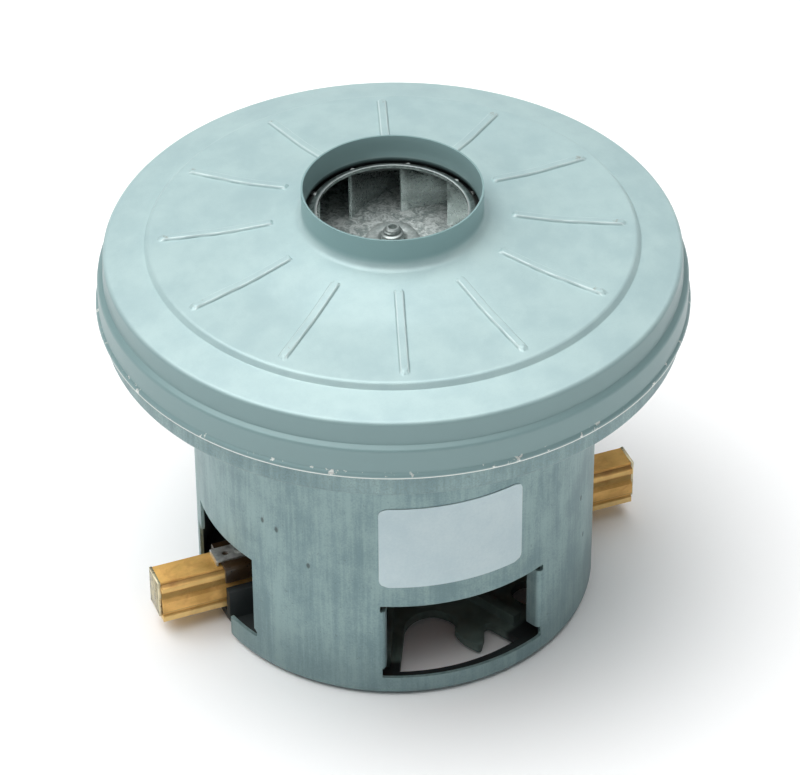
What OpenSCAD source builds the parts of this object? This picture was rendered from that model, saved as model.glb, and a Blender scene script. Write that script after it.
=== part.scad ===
// Vacuum motor unit: a single-stage suction motor with a pressed steel fan cover.
// Frame: Z up along the shaft, origin on the shaft axis in the plane the motor stands on,
// X along the brush holders, -Y towards the front cooling window.

/* [Motor frame] */
// Outer radius of the drawn can
frame_r = 46.4; // [44:0.1:49]
// Thickness of the frame sheet
frame_t = 0.8; // [0.6:0.05:1.0]
// Radius of the bottom edge of the can
frame_edge_r = 2.3; // [1.5:0.1:3]
// Width of the ring turned in at the bottom of the can
foot_w = 5.9; // [5:0.1:7]
// Outer radius of the wide cup at the top of the frame
cup_r = 65.5; // [64:0.1:68]
// Radius of the lower edge of the cup
cup_edge_r = 1.6; // [1:0.1:2]
// Fillet between the can and the cup
neck_r = 3.0; // [2:0.1:4]

/* [Windows] */
// Lower edge of the cooling windows
window_low_z = 5.9; // [5:0.1:8]
// Upper edge of the cooling windows
window_high_z = 27.2; // [20:0.1:29]
// Half width of a cooling window, in degrees
window_half = 23.9; // [15:0.1:25]
// Half width of a cooling window out to the ends of its relief slits, in degrees
slit_half = 26.0; // [24.5:0.1:27]
// Radius of the lower relief slits in the window corners
notch_r = 1.1; // [0.8:0.1:1.5]
// Radius of the upper relief slits in the window corners
top_notch_r = 0.7; // [0.5:0.1:1]
// How far the side flaps of a window are bent in
flap_w = 3.4; // [2:0.1:5]
// Lower edge of the brush windows
brush_window_low_z = 7.0; // [6:0.1:9]
// Upper edge of the brush windows
brush_window_high_z = 29.8; // [24:0.1:32]
// Clearance between a brush sleeve and the far jamb of its window
jamb_gap = 0.15; // [0.1:0.05:1.5]
// Height of the slit that frees the flap beside the far jamb
flap_slit_z = 20.0; // [12:0.1:22]
// Angle from the brush axis to the near jamb of a brush window
brush_window_near = 24.4; // [18:0.1:28]
// Angle from the brush axis to the near side of the slot through the foot
brush_slot_near = 13.6; // [9:0.1:16]

/* [Fan cover] */
// Thickness of the cover sheet
cover_t = 0.8; // [0.6:0.05:1.0]
// Height of the lower edge of the cover above the underside of the cup
lip_above_cup = 6.3; // [5:0.1:7]
// Height of the cover's lip
lip_h = 1.2; // [0.8:0.1:1.4]
// Height of the skirt from the lip up to the ledge
skirt_h = 5.7; // [5:0.1:6.5]
// Height of the narrower band above the ledge
band_h = 5.5; // [4.5:0.1:7]
// Rise of the flat rim from its outer edge to the foot of the ridge
rim_rise = 1.5; // [0.5:0.1:2]
// Radius of the raised plate at its ridge
ridge_r = 54.5; // [50:0.1:56]
// Height of the step at the ridge
ridge_h = 1.5; // [1:0.1:2]
// Rise of the raised plate from the ridge to the collar
plate_rise = 4.9; // [4:0.1:6]
// Sag of the raised plate below a straight cone
plate_sag = 0.8; // [0.3:0.1:1.2]
// Outer radius of the inlet collar
collar_r = 20.3; // [20:0.1:22]
// Height of the inlet collar above the plate
collar_h = 7.4; // [6:0.1:10]
// Fillet between the plate and the collar
collar_fillet = 3.5; // [2:0.1:4]
// Number of pressed ribs in the plate
rib_count = 12; // [8:1:16]
// Width of a rib
rib_w = 2.0; // [1.4:0.1:3]
// Height of a rib
rib_h = 0.6; // [0.4:0.1:0.9]
// Clear length between the ridge and a rib
rib_gap = 2.6; // [2:0.1:6]
// Inner end of the ribs, measured from the collar wall
rib_start = 6.4; // [5:0.1:10]
// Angle of the first rib from the brush axis
rib_turn = 11.6; // [0:0.1:30]

/* [Fan] */
// Outer radius of the fan
fan_r = 52.5; // [48:0.1:53]
// Thickness of the fan plates and blades
fan_t = 0.8; // [0.6:0.05:1.0]
// Radius of the fan's eye
eye_r = 16.8; // [15:0.1:17.2]
// Width of the flat ring round the eye
eye_ring_w = 1.8; // [1.5:0.1:2]
// Drop from the flat ring to the sloping part of the front plate
eye_drop = 4.0; // [2:0.1:4.5]
// Running gap between the front plate and the cover at the fan's edge
fan_top_gap = 2.2; // [1.2:0.1:3]
// Height of the fan above the fan end bracket
fan_rise = 13.0; // [11:0.1:14]
// Running gap between the diffuser and the fan
fan_low_gap = 2.0; // [1.5:0.1:3]
// Number of blades
blade_count = 9; // [7:1:11]
// Angle that a blade sweeps from its inner to its outer end
blade_sweep = 88; // [60:1:100]
// Angle of the first blade's inner end from the brush axis
blade_turn = 63; // [0:1:90]
// Length of a staked tab on a fan plate
tab_l = 1.2; // [1:0.1:3]
// Height of a staked tab above its plate
tab_h = 0.35; // [0.3:0.05:0.5]

/* [Fan fixing] */
// Width of the fan nut across its flats
nut_af = 11.1; // [10:0.1:13]
// Height of the fan nut
nut_h = 4.4; // [3:0.1:5]
// Turn of the fan nut about the shaft, in degrees
nut_turn = -21; // [-30:1:30]
// Radius of the clamping washers
washer_r = 7; // [6.6:0.1:9]
// Thickness of a clamping washer
washer_t = 1.0; // [0.8:0.1:1.5]
// Radius of the threaded end of the shaft
thread_r = 2.65; // [2.4:0.05:3]
// Pitch of the shaft's thread
thread_pitch = 1.1; // [0.8:0.05:1.2]
// Length of the shaft above the nut
tip_h = 2.6; // [2:0.1:3.5]

/* [Diffuser] */
// Thickness of the diffuser's disc
diffuser_t = 2.0; // [1.5:0.1:2.5]
// Number of vanes outside the fan
outer_vanes = 17; // [13:1:21]
// Number of return vanes below the disc
return_vanes = 12; // [8:1:14]
// Thickness of the vanes
vane_t = 1.4; // [1:0.1:2]

/* [Bearings] */
// Bore radius of the fan end bearing
fan_bore_r = 4.0; // [4:0.1:4.4]
// Outer radius of the fan end bearing
fan_race_r = 11.0; // [10.8:0.1:12]
// Width of the fan end bearing
fan_race_w = 7.0; // [6:0.1:8]
// Bore radius of the brush end bearing
brush_bore_r = 3.5; // [3.3:0.1:3.6]
// Outer radius of the brush end bearing
brush_race_r = 8.5; // [8.2:0.1:9]
// Width of the brush end bearing
brush_race_w = 5.0; // [4.5:0.1:5.5]
// Number of balls in each bearing
ball_count = 7; // [6:1:7]
// Running clearance of the balls in their races
ball_gap = 0.08; // [0.05:0.01:0.1]

/* [Armature] */
// Radius of the shaft in the armature
shaft_r = 5.0; // [5:0.1:5.8]
// Radius of the armature stack
core_r = 22.6; // [21:0.1:24]
// Length of the armature and field stacks
core_len = 30; // [25:0.5:40]
// Number of slots
slot_count = 12; // [10:1:14]
// Length of the windings on the commutator side
tail_len = 14.2; // [12:0.1:18]
// Length of the windings on the fan side
head_len = 3.4; // [2.5:0.1:3.6]
// Gap between the windings and the floor of the upper bearing
head_gap = 1.4; // [1:0.1:2.5]
// Radius of the commutator
comm_r = 11.0; // [10.6:0.1:12]
// Length of the commutator bars
bar_len = 10.4; // [10:0.1:12]
// Number of commutator bars
bar_count = 24; // [20:1:28]
// Height of the risers
riser_h = 1.6; // [1.2:0.1:2]
// Depth of the commutator bars
bar_depth = 2.6; // [2:0.1:3]

/* [Field] */
// Air gap between armature and field
air_gap = 0.6; // [0.4:0.05:0.8]
// Radial width of the yoke
yoke_w = 6.0; // [5:0.1:7]
// Width of the pole necks
neck_w = 28; // [24:0.5:30]
// Depth of the pole shoes
shoe_depth = 4.3; // [3.5:0.1:5]
// Half angle of a pole shoe
shoe_half = 62; // [55:1:65]
// Thickness of a field coil round its neck
coil_w = 6.0; // [4:0.1:6.2]
// Radius of a lead's insulation
lead_r = 0.9; // [0.7:0.1:1]

/* [Brush gear] */
// Width of the carbon brush
brush_w = 5.7; // [5.3:0.1:6]
// Height of the carbon brush
brush_h = 8.6; // [8:0.1:9]
// Length of the carbon brush
brush_len = 22; // [16:0.5:23]
// Clearance of the brush in its holder
brush_gap = 0.12; // [0.08:0.01:0.15]
// Clearance between brush and commutator
comm_gap = 0.1; // [0.05:0.01:0.1]
// Wall of the brass holder
holder_t = 0.5; // [0.4:0.05:0.6]
// Distance of the outer end of the holders from the shaft axis
holder_end = 60.0; // [56:0.5:64]
// Gap between the holder and the commutator
holder_gap = 2.3; // [1.8:0.1:3]
// Thickness of the end cap
cap_t = 0.7; // [0.5:0.1:1]
// Wire radius of the brush spring
spring_wire_r = 0.3; // [0.2:0.05:0.35]
// Number of turns of the brush spring
spring_turns = 11; // [8:1:14]
// Thickness of the insulating sleeve on the holder
sleeve_t = 0.9; // [0.7:0.1:1.1]
// Outer end of the insulating sleeve, measured out from the can
sleeve_out = -2.3; // [-3:0.1:2]
// Thickness of the terminal tag
tag_t = 0.5; // [0.4:0.1:0.8]
// Width of the terminal tag
tag_w = 4.8; // [4:0.1:5.4]

/* [Brush end bracket] */
// Thickness of the bracket's floor
floor_t = 2.2; // [1.8:0.1:2.4]
// Radius of the bracket's hub
hub_r = 16.4; // [15:0.1:18]
// Height of the bracket's stiffening ribs
arm_h = 5.0; // [4:0.1:8]
// Radius of the small round ports
port_r = 4.2; // [3:0.1:4.4]
// Distance of the small round ports from the shaft axis
port_pitch_r = 34.4; // [33.6:0.1:35]
// Angle of the small round ports
port_turn = -45.4; // [-47:0.1:-44]

/* [Label] */
// Width of the label along the can
label_w = 34.2; // [20:0.1:40]
// Height of the label
label_h = 22.7; // [15:0.1:26]
// Lower edge of the label
label_z = 32.8; // [32:0.1:40]
// Angle of the label's middle from the brush axis
label_turn = -94.5; // [-120:0.1:-60]
// Thickness of the label
label_t = 0.15; // [0.1:0.01:0.3]

/* [Hidden] */
$fn = 96;
far = 200;
snug = 0.05;

// Heights, from the floor up
race_lip_t = 0.6;
brush_race_z = race_lip_t;
comm_z = brush_race_z + brush_race_w + 0.4;
riser_z = comm_z + bar_len;
comm_top_z = riser_z + riser_h;
end_disc_t = 0.8;
core_z = comm_top_z + tail_len + end_disc_t;
core_top_z = core_z + core_len;
head_top_z = core_top_z + end_disc_t + head_len;
race_floor_t = 1.0;
preload_t = 0.4;
plate_t = 1.5;
race_floor_z = head_top_z + head_gap;
fan_race_z = race_floor_z + race_floor_t + preload_t;
plate_top_z = fan_race_z + fan_race_w;
cup_floor_z = plate_top_z - plate_t - frame_t;
lip_z = cup_floor_z + lip_above_cup;
ledge_z = lip_z + lip_h + skirt_h;
cup_rim_z = ledge_z - cover_t + snug;
rim_z = ledge_z + 0.9 + band_h;
ridge_foot_z = rim_z + rim_rise;
ridge_z = ridge_foot_z + ridge_h;
plate_in_z = ridge_z + plate_rise;
collar_top_z = plate_in_z + collar_h;

// Radii of the cover
skirt_r = cup_r + snug + cover_t;
lip_r = skirt_r + 0.6;
rim_r = skirt_r - 1.55;
ridge_foot_r = ridge_r + 0.9;
rib_in_r = collar_r + rib_start;
rib_out_r = ridge_r - rib_gap;
plate_mid_r = (collar_r + ridge_r) / 2;

// Fan
return_z = plate_top_z + 0.5;
cup_in_z = cup_floor_z + frame_t;
fan_edge_z = ridge_z - cover_t - fan_top_gap;
eye_z = plate_in_z + 2.6;
fan_back_z = plate_top_z + fan_rise;
disc_top_z = fan_back_z - fan_low_gap;
disc_z = disc_top_z - diffuser_t;
nut_z = fan_back_z + fan_t + washer_t;
tip_z = nut_z + nut_h + tip_h;

// Brush gear
slot_w = brush_w + 2 * brush_gap;
slot_h = brush_h + 2 * brush_gap;
slot_z = comm_z + brush_gap / 2;
tube_top_z = slot_z + slot_h + holder_t;
tube_low_z = slot_z - holder_t - 1.3;
holder_in = comm_r + holder_gap;
brush_in = comm_r + comm_gap;
brush_out = brush_in + brush_len;
cap_in = holder_end - cap_t;
sleeve_in = frame_r - 22;
sleeve_end = frame_r + sleeve_out;
sleeve_half = slot_w / 2 + holder_t + 0.85 + sleeve_t;
sleeve_room = sleeve_half + jamb_gap;

// Frame interior
wall_in_r = frame_r - frame_t;
foot_in_r = frame_r - foot_w;
brush_window_far = asin(sleeve_room / wall_in_r);
field_r = wall_in_r - snug;
pole_r = core_r + air_gap;
shoe_r = pole_r + shoe_depth;
yoke_in_r = field_r - yoke_w;
bobbin_t = 0.4;
coil_hole_w = neck_w + 2 * bobbin_t + 0.1;
coil_hole_h = core_len + 2 * bobbin_t + 0.1;
coil_in_y = shoe_r + 0.6;
coil_out_r = yoke_in_r - 0.3;
bracket_z = frame_t;
bracket_top_z = bracket_z + floor_t;
bracket_r = frame_r - frame_edge_r - 0.1;
arm_turn = [-113.8, -63];
arm_w = [1.2, 2.2];
arm_end_r = 39;

// Points of an arc about c from angle a0 to a1
function arc(c, r, a0, a1, n) = [
    for (i = [0:n]) let (a = a0 + (a1 - a0) * i / n) c + r * [cos(a), sin(a)]
];
function unit(v) = v / norm(v);
function left(v) = [-v[1], v[0]];
function xy(p) = [p[0], p[1]];

// Replaces the corner at b by an arc of radius r that meets both legs
function corner(a, b, c, r, n) =
    let (
        u = unit(a - b),
        v = unit(c - b),
        half = acos(max(-1, min(1, u * v))) / 2,
        reach = r / tan(half),
        mid = b + unit(u + v) * (r / sin(half)),
        p = b + u * reach - mid,
        q = b + v * reach - mid,
        a0 = atan2(p[1], p[0]),
        turn = atan2(p[0] * q[1] - p[1] * q[0], p * q)
    ) arc(mid, r, a0, a0 + turn, n);

// Rounds an open path of points [x, y, radius]
function rounded(path, n = 5) = [
    for (i = [0:len(path) - 1])
        let (inner = i > 0 && i < len(path) - 1, r = len(path[i]) > 2 ? path[i][2] : 0)
        for (p = inner && r > 0
            ? corner(xy(path[i - 1]), xy(path[i]), xy(path[i + 1]), r, n)
            : [xy(path[i])]) p
];

// Moves an open path sideways to its left by d
function beside(path, d) = [
    for (i = [0:len(path) - 1])
        let (
            before = i > 0 ? left(unit(path[i] - path[i - 1])) : left(unit(path[1] - path[0])),
            after = i < len(path) - 1 ? left(unit(path[i + 1] - path[i])) : before
        ) path[i] + d * (before + after) / (1 + before * after)
];

// Closed outline of a sheet of thickness t on the left of a path
function sheet(path, t) = concat(path, [for (i = [len(path) - 1:-1:0]) beside(path, t)[i]]);

// Tube of radius r along points, with flat ends
function side_of(d) = abs(d[2]) < 0.9 ? [0, 0, 1] : [1, 0, 0];
function heading(p, i) = unit(p[min(i + 1, len(p) - 1)] - p[max(i - 1, 0)]);
module tube_along(points, r, sides) {
    rings = [
        for (i = [0:len(points) - 1])
            let (d = heading(points, i), u = unit(cross(side_of(d), d)), v = cross(d, u))
            for (k = [0:sides - 1])
                let (a = 360 * (k + 0.5) / sides) points[i] + r * (cos(a) * u + sin(a) * v)
    ];
    last = len(points) - 1;
    sides_faces = [
        for (i = [0:last - 1])
            for (k = [0:sides - 1])
                let (m = (k + 1) % sides, p = i * sides, q = p + sides)
                for (f = [[p + k, q + m, p + m], [p + k, q + k, q + m]]) f
    ];
    start = [for (k = [1:sides - 2]) [0, k, k + 1]];
    finish = [for (k = [1:sides - 2]) [last * sides, last * sides + k + 1, last * sides + k]];
    polyhedron(points = rings, faces = concat(sides_faces, start, finish), convexity = 6);
}

// Ring between two radii
module ring(r_out, r_in, z, h) {
    translate([0, 0, z])
        difference() {
            cylinder(r = r_out, h = h);
            translate([0, 0, -1]) cylinder(r = r_in, h = h + 2);
        }
}

// Part of a ring between two angles
module ring_part(r_out, r_in, z, h, a0, a1) {
    rotate([0, 0, a0])
        rotate_extrude(angle = a1 - a0)
            translate([r_in, z]) square([r_out - r_in, h]);
}

// Rectangle with round corners, centred
module round_rect(w, h, r) {
    square([w - 2 * r, h], center = true);
    square([w, h - 2 * r], center = true);
    for (x = [-1, 1], y = [-1, 1])
        translate([x * (w / 2 - r), y * (h / 2 - r)]) circle(r = r);
}

module each_side() {
    children();
    rotate([0, 0, 180]) children();
}

// Hole through the can's wall, drilled towards the axis
module wall_drill(angle, z, r) {
    rotate([0, 0, angle])
        translate([wall_in_r - 3, 0, z])
            rotate([0, 90, 0]) cylinder(r = r, h = frame_t + 6);
}

frame_path = rounded([
    [foot_in_r, 0],
    [frame_r, 0, frame_edge_r],
    [frame_r, cup_floor_z, neck_r],
    [cup_r, cup_floor_z, cup_edge_r],
    [cup_r, cup_rim_z]
]);

// Round-ended slit that runs on from the side of a cooling window
module slit(side, z, r) {
    reach = slit_half - asin(r / frame_r);
    wall_drill(side * reach, z, r);
    rotate([0, 0, side > 0 ? 0 : -reach])
        ring_part(frame_r + 2, wall_in_r - 2, z - 0.9 * r, 1.8 * r, 0, reach);
}

module cooling_window() {
    ring_part(
        frame_r + 3, wall_in_r - 3, window_low_z, window_high_z - window_low_z, -window_half, window_half
    );
    for (a = [-1, 1]) {
        slit(a, window_low_z + notch_r, notch_r);
        slit(a, window_high_z - top_notch_r, top_notch_r);
    }
}

module brush_window() {
    ring_part(
        frame_r + 3, wall_in_r - 3, brush_window_low_z, brush_window_high_z - brush_window_low_z,
        -brush_window_far, brush_window_near
    );
    ring_part(frame_r + 3, foot_in_r - 3, -1, brush_window_low_z + 2, -brush_window_far, brush_slot_near);
    ring_part(frame_r + 2, wall_in_r - 2, flap_slit_z, 0.8, -brush_window_far - 3.6, 0);
    wall_drill(brush_window_near, brush_window_low_z + 0.8 * notch_r, notch_r);
}

module window_flap(angle) {
    rotate([0, 0, angle])
        translate([wall_in_r - flap_w, -frame_t / 2, window_low_z + 2 * notch_r + 0.4])
            cube([flap_w + frame_t / 2, frame_t, window_high_z - window_low_z - 4 * notch_r - 0.8]);
}

module motor_frame() {
    color("#8fa0a0")
        difference() {
            union() {
                rotate_extrude() polygon(sheet(frame_path, frame_t));
                for (side = [-90, 90], a = [-1, 1]) window_flap(side + a * (window_half + 0.5));
            }
            for (side = [-90, 90]) rotate([0, 0, side]) cooling_window();
            each_side() brush_window();
            bracket_screw_places() translate([0, 0, -1]) cylinder(r = foot_screw_r, h = frame_t + 2);
            rivet_places() translate([0, 0, cup_floor_z - 1]) cylinder(r = rivet_r, h = frame_t + 2);
        }
}

module rating_label() {
    color("#d5dedd")
        intersection() {
            ring(frame_r + label_t, frame_r, label_z - 1, label_h + 2);
            rotate([0, 0, label_turn])
                translate([frame_r - 20, 0, label_z + label_h / 2])
                    rotate([90, 0, 90])
                        linear_extrude(height = 30)
                            round_rect(2 * frame_r * sin(label_w / frame_r * 90 / PI), label_h, 2);
        }
}

cover_path = rounded([
    [collar_r, collar_top_z],
    [collar_r, plate_in_z, collar_fillet],
    [plate_mid_r, (plate_in_z + ridge_z) / 2 - plate_sag, 60],
    [ridge_r, ridge_z, 1.1],
    [ridge_foot_r, ridge_foot_z, 0.4],
    [rim_r, rim_z, 1.2],
    [rim_r + 0.25, ledge_z + 0.9, 0.3],
    [skirt_r, ledge_z, 1.1],
    [skirt_r, lip_z + lip_h, 0.3],
    [lip_r, lip_z + lip_h / 2, 1.0],
    [lip_r, lip_z]
]);
plate_path = rounded([
    [collar_r + collar_fillet, plate_in_z - 0.4],
    [plate_mid_r, (plate_in_z + ridge_z) / 2 - plate_sag, 60],
    [ridge_r, ridge_z]
]);

module rib_plan() {
    length = rib_out_r - rib_in_r - rib_w;
    for (k = [0:rib_count - 1])
        rotate(rib_turn + 360 * k / rib_count)
            translate([(rib_in_r + rib_out_r) / 2, 0]) {
                square([length, rib_w], center = true);
                for (e = [-1, 1]) translate([e * length / 2, 0]) circle(r = rib_w / 2);
            }
}

module fan_cover() {
    color("#bcd3d4") {
        rotate_extrude() polygon(sheet(cover_path, -cover_t));
        intersection() {
            rotate_extrude() polygon(concat(
                beside(plate_path, rib_h),
                [for (i = [len(plate_path) - 1:-1:0]) beside(plate_path, -cover_t / 2)[i]]
            ));
            linear_extrude(height = collar_top_z) rib_plan();
        }
    }
}

// Plan of a curved vane from r0 to r1 that turns by sweep degrees
function vane_line(r0, r1, sweep, n) = [
    for (i = [0:n])
        let (r = r0 + (r1 - r0) * i / n, a = sweep * ln(r / r0) / ln(r1 / r0)) [r * cos(a), r * sin(a)]
];
module vane_plan(r0, r1, sweep, t, n) {
    line = vane_line(r0, r1, sweep, n);
    polygon(concat(beside(line, t / 2), [for (i = [n:-1:0]) beside(line, -t / 2)[i]]));
}

diffuser_r = cup_r - frame_t - 0.9;
disc_r = fan_r + 4.5;
guide_top_z = rim_z - cover_t - 0.5;
module diffuser() {
    color("#1d2021") {
        difference() {
            union() {
                ring(disc_r, washer_r + 1, disc_z, diffuser_t);
                ring(diffuser_r, diffuser_r - 1.2, cup_in_z, guide_top_z - cup_in_z);
                for (k = [0:outer_vanes - 1])
                    rotate([0, 0, 360 * k / outer_vanes])
                        translate([0, 0, disc_z + diffuser_t / 2])
                            linear_extrude(height = guide_top_z - disc_z - diffuser_t)
                                vane_plan(fan_r + 2, diffuser_r - 0.6, -14, vane_t, 5);
                for (k = [0:return_vanes - 1])
                    rotate([0, 0, 360 * k / return_vanes])
                        translate([0, 0, return_z])
                            linear_extrude(height = disc_z - return_z + diffuser_t / 4)
                                vane_plan(retainer_r + 8, disc_r - 1, 60, vane_t, 8);
            }
            rivet_places() translate([0, 0, return_z - 1]) cylinder(r = rivet_r * 2.4, h = 3);
        }
    }
}

retainer_r = fan_race_r + 6;
screw_r = 1.5;
rivet_r = 1.6;
rivet_pitch_r = (wall_in_r + cup_r) / 2 + 3;
module rivet_places() for (k = [0:3]) rotate([0, 0, 45 + 90 * k]) translate([rivet_pitch_r, 0, 0]) children();
module retainer_screw_places() {
    for (k = [0:2]) rotate([0, 0, 30 + 120 * k]) translate([fan_race_r + 3.6, 0, 0]) children();
}

module fan_end_bracket() {
    air_in_r = retainer_r + 2;
    air_out_r = wall_in_r - 1.5;
    under_z = plate_top_z - plate_t - 1;
    cut_h = plate_t + 2;
    color("#7c8889")
        difference() {
            union() {
                ring(rivet_pitch_r + 4, fan_race_r + snug, plate_top_z - plate_t, plate_t);
                ring(fan_race_r + snug + 1.2, fan_race_r + snug, race_floor_z, plate_top_z - race_floor_z);
                ring(fan_race_r + 1, shaft_r + 1.6, race_floor_z, race_floor_t);
            }
            for (k = [0:3])
                ring_part(air_out_r, air_in_r, under_z, cut_h, 90 * k - 34, 90 * k + 34);
            rivet_places() translate([0, 0, under_z]) cylinder(r = rivet_r, h = cut_h);
            retainer_screw_places() translate([0, 0, under_z]) cylinder(r = screw_r, h = cut_h);
        }
}

module bearing_retainer() {
    color("#9aa5a6")
        difference() {
            ring(retainer_r, fan_race_r - 1.6, plate_top_z, 0.8);
            retainer_screw_places() translate([0, 0, plate_top_z - 1]) cylinder(r = screw_r, h = 3);
        }
}

module retainer_screws() {
    color("#c4c8c6")
        retainer_screw_places() {
            translate([0, 0, plate_top_z - plate_t - 0.6]) cylinder(r = screw_r - 0.02, h = plate_t + 1.4);
            translate([0, 0, plate_top_z + 0.8]) cylinder(r = 2.6, h = 1.4);
        }
}

module bracket_rivets() {
    color("#aab2b1")
        rivet_places() {
            translate([0, 0, cup_floor_z - 0.02]) cylinder(r = rivet_r - 0.02, h = frame_t + plate_t + 0.04);
            translate([0, 0, plate_top_z]) cylinder(r = 3, h = 1);
            translate([0, 0, cup_floor_z - 0.8]) cylinder(r = 2.8, h = 0.8);
        }
}

module preload_washer() {
    color("#b9bdbb") ring(fan_race_r - 0.2, fan_race_r - 2.2, fan_race_z - preload_t, preload_t);
}

// Bearing pieces for a bore radius, an outer radius and a width, centred on z = 0
function pitch_r(bore, race) = (bore + race) / 2;
function ball_r(bore, race) = (race - bore) * 0.285;
module race_outer(bore, race, w) {
    difference() {
        ring(race, pitch_r(bore, race) + ball_r(bore, race) * 0.72, -w / 2, w);
        rotate_extrude() translate([pitch_r(bore, race), 0]) circle(r = ball_r(bore, race) + ball_gap);
    }
}
module race_inner(bore, race, w) {
    difference() {
        ring(pitch_r(bore, race) - ball_r(bore, race) * 0.72, bore, -w / 2, w);
        rotate_extrude() translate([pitch_r(bore, race), 0]) circle(r = ball_r(bore, race) + ball_gap);
    }
}
module balls(bore, race) {
    for (k = [0:ball_count - 1])
        rotate([0, 0, 360 * k / ball_count])
            translate([pitch_r(bore, race), 0, 0]) sphere(r = ball_r(bore, race), $fn = 32);
}
module ball_cage(bore, race) {
    size = ball_r(bore, race);
    difference() {
        ring(pitch_r(bore, race) + size * 0.45, pitch_r(bore, race) - size * 0.45, -size * 0.5, size * 1.75);
        for (k = [0:ball_count - 1])
            rotate([0, 0, 360 * k / ball_count])
                translate([pitch_r(bore, race), 0, 0]) sphere(r = ball_r(bore, race) + 0.04, $fn = 32);
    }
}
module shields(bore, race, w) {
    out_r = pitch_r(bore, race) + ball_r(bore, race) * 0.72 - 0.02;
    in_r = pitch_r(bore, race) - ball_r(bore, race) * 0.72 + 0.3;
    for (z = [-w / 2 + 0.1, w / 2 - 0.4]) ring(out_r, in_r, z, 0.3);
}
module at_fan_end() translate([0, 0, fan_race_z + fan_race_w / 2]) children();
module at_brush_end() translate([0, 0, brush_race_z + brush_race_w / 2]) children();

module fan_end_race_outer() {
    color("#c9cdcc") at_fan_end() race_outer(fan_bore_r, fan_race_r, fan_race_w);
}
module fan_end_race_inner() {
    color("#c9cdcc") at_fan_end() race_inner(fan_bore_r, fan_race_r, fan_race_w);
}
module fan_end_balls() color("#dfe2e1") at_fan_end() balls(fan_bore_r, fan_race_r);
module fan_end_cage() color("#b08d4f") at_fan_end() ball_cage(fan_bore_r, fan_race_r);
module fan_end_shields() {
    color("#a9aeae") at_fan_end() shields(fan_bore_r, fan_race_r, fan_race_w);
}
module brush_end_race_outer() {
    color("#c9cdcc") at_brush_end() race_outer(brush_bore_r, brush_race_r, brush_race_w);
}
module brush_end_race_inner() {
    color("#c9cdcc") at_brush_end() race_inner(brush_bore_r, brush_race_r, brush_race_w);
}
module brush_end_balls() color("#dfe2e1") at_brush_end() balls(brush_bore_r, brush_race_r);
module brush_end_cage() color("#b08d4f") at_brush_end() ball_cage(brush_bore_r, brush_race_r);
module brush_end_shields() {
    color("#a9aeae") at_brush_end() shields(brush_bore_r, brush_race_r, brush_race_w);
}

screw_pitch_r = (foot_in_r + frame_r - frame_edge_r) / 2;
foot_screw_r = 1.2;
module bracket_screw_places() {
    for (k = [0:3]) rotate([0, 0, 45 + 90 * k]) translate([screw_pitch_r, 0, 0]) children();
}

// Opening of the bracket in front of the hub, between its arms, with a tongue that points outwards
front_opening = rounded([
    [-13.9, -38.4, 0.8], [-7.0, -24.0, 7.0], [-3.5, -21.7, 6.4], [1.2, -21.7, 4.4],
    [4.4, -25.5, 4.0], [4.6, -28.8, 0.4],
    [3.2, -29.6, 0.5], [3.3, -31.2, 0.5], [3.9, -33.8, 1.0], [6.4, -38.0, 0.7], [8.6, -34.6, 1.0],
    [10.6, -29.6, 1.0], [15.2, -38.0, 1.0]
], 4);
side_opening = rounded([
    [-15.6, -36.8, 0.8], [-12.6, -30.4, 1.2], [-15.5, -25.0, 2.0], [-20.5, -22.5, 2.0],
    [-24.5, -28.5, 2.0], [-19.0, -35.4, 1.5]
], 4);
module bracket_plan() {
    difference() {
        circle(r = bracket_r);
        each_side() {
            intersection() {
                polygon(concat([[-17, -45]], front_opening, [[17, -45]]));
                circle(r = foot_in_r + 1);
            }
            polygon(side_opening);
            rotate(port_turn) translate([port_pitch_r, 0]) circle(r = port_r);
        }
    }
}

module brush_end_bracket() {
    hub_wall = 2.2;
    cradle_t = 2.2;
    cradle_len = wall_in_r - 4 - sleeve_in;
    hub_wall_top = slot_z + slot_h * 0.3;
    color("#2b3230")
        difference() {
            union() {
                translate([0, 0, bracket_z]) linear_extrude(height = floor_t) bracket_plan();
                for (side = [-90, 90])
                    ring_part(
                        hub_r, hub_r - hub_wall, bracket_z, hub_wall_top - bracket_z, side - 38, side + 38
                    );
                each_side() for (a = [0, 1]) rotate([0, 0, arm_turn[a]])
                    translate([hub_r - hub_wall / 2, -arm_w[a] / 2, bracket_z])
                        cube([arm_end_r - hub_r, arm_w[a], arm_h]);
                ring(brush_race_r + snug + 1.4, brush_race_r + snug, 0, brush_race_z + brush_race_w - 0.1);
                ring(brush_race_r + 0.5, brush_race_r - 1.6, 0, race_lip_t - 0.02);
                each_side() translate([sleeve_in, -sleeve_half - cradle_t, bracket_top_z - 0.5])
                    cube([cradle_len, 2 * (sleeve_half + cradle_t), slot_z + slot_h * 0.6 - bracket_top_z]);
            }
            translate([0, 0, race_lip_t - 0.02]) cylinder(r = brush_race_r + snug, h = far);
            translate([0, 0, -1]) cylinder(r = brush_race_r - 1.6, h = 5);
            bracket_screw_places() translate([0, 0, -1]) cylinder(r = foot_screw_r, h = floor_t + 3);
            each_side() translate([sleeve_in - 0.1, -sleeve_half - 0.05, tube_low_z - sleeve_t - 0.05])
                cube([far, 2 * sleeve_half + 0.1, far]);
        }
}

module brush_bracket_screws() {
    color("#c4c8c6")
        bracket_screw_places() {
            translate([0, 0, 0.1]) cylinder(r = foot_screw_r - 0.02, h = bracket_top_z);
            translate([0, 0, bracket_top_z]) cylinder(r = 2.2, h = 1.4);
        }
}

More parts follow.
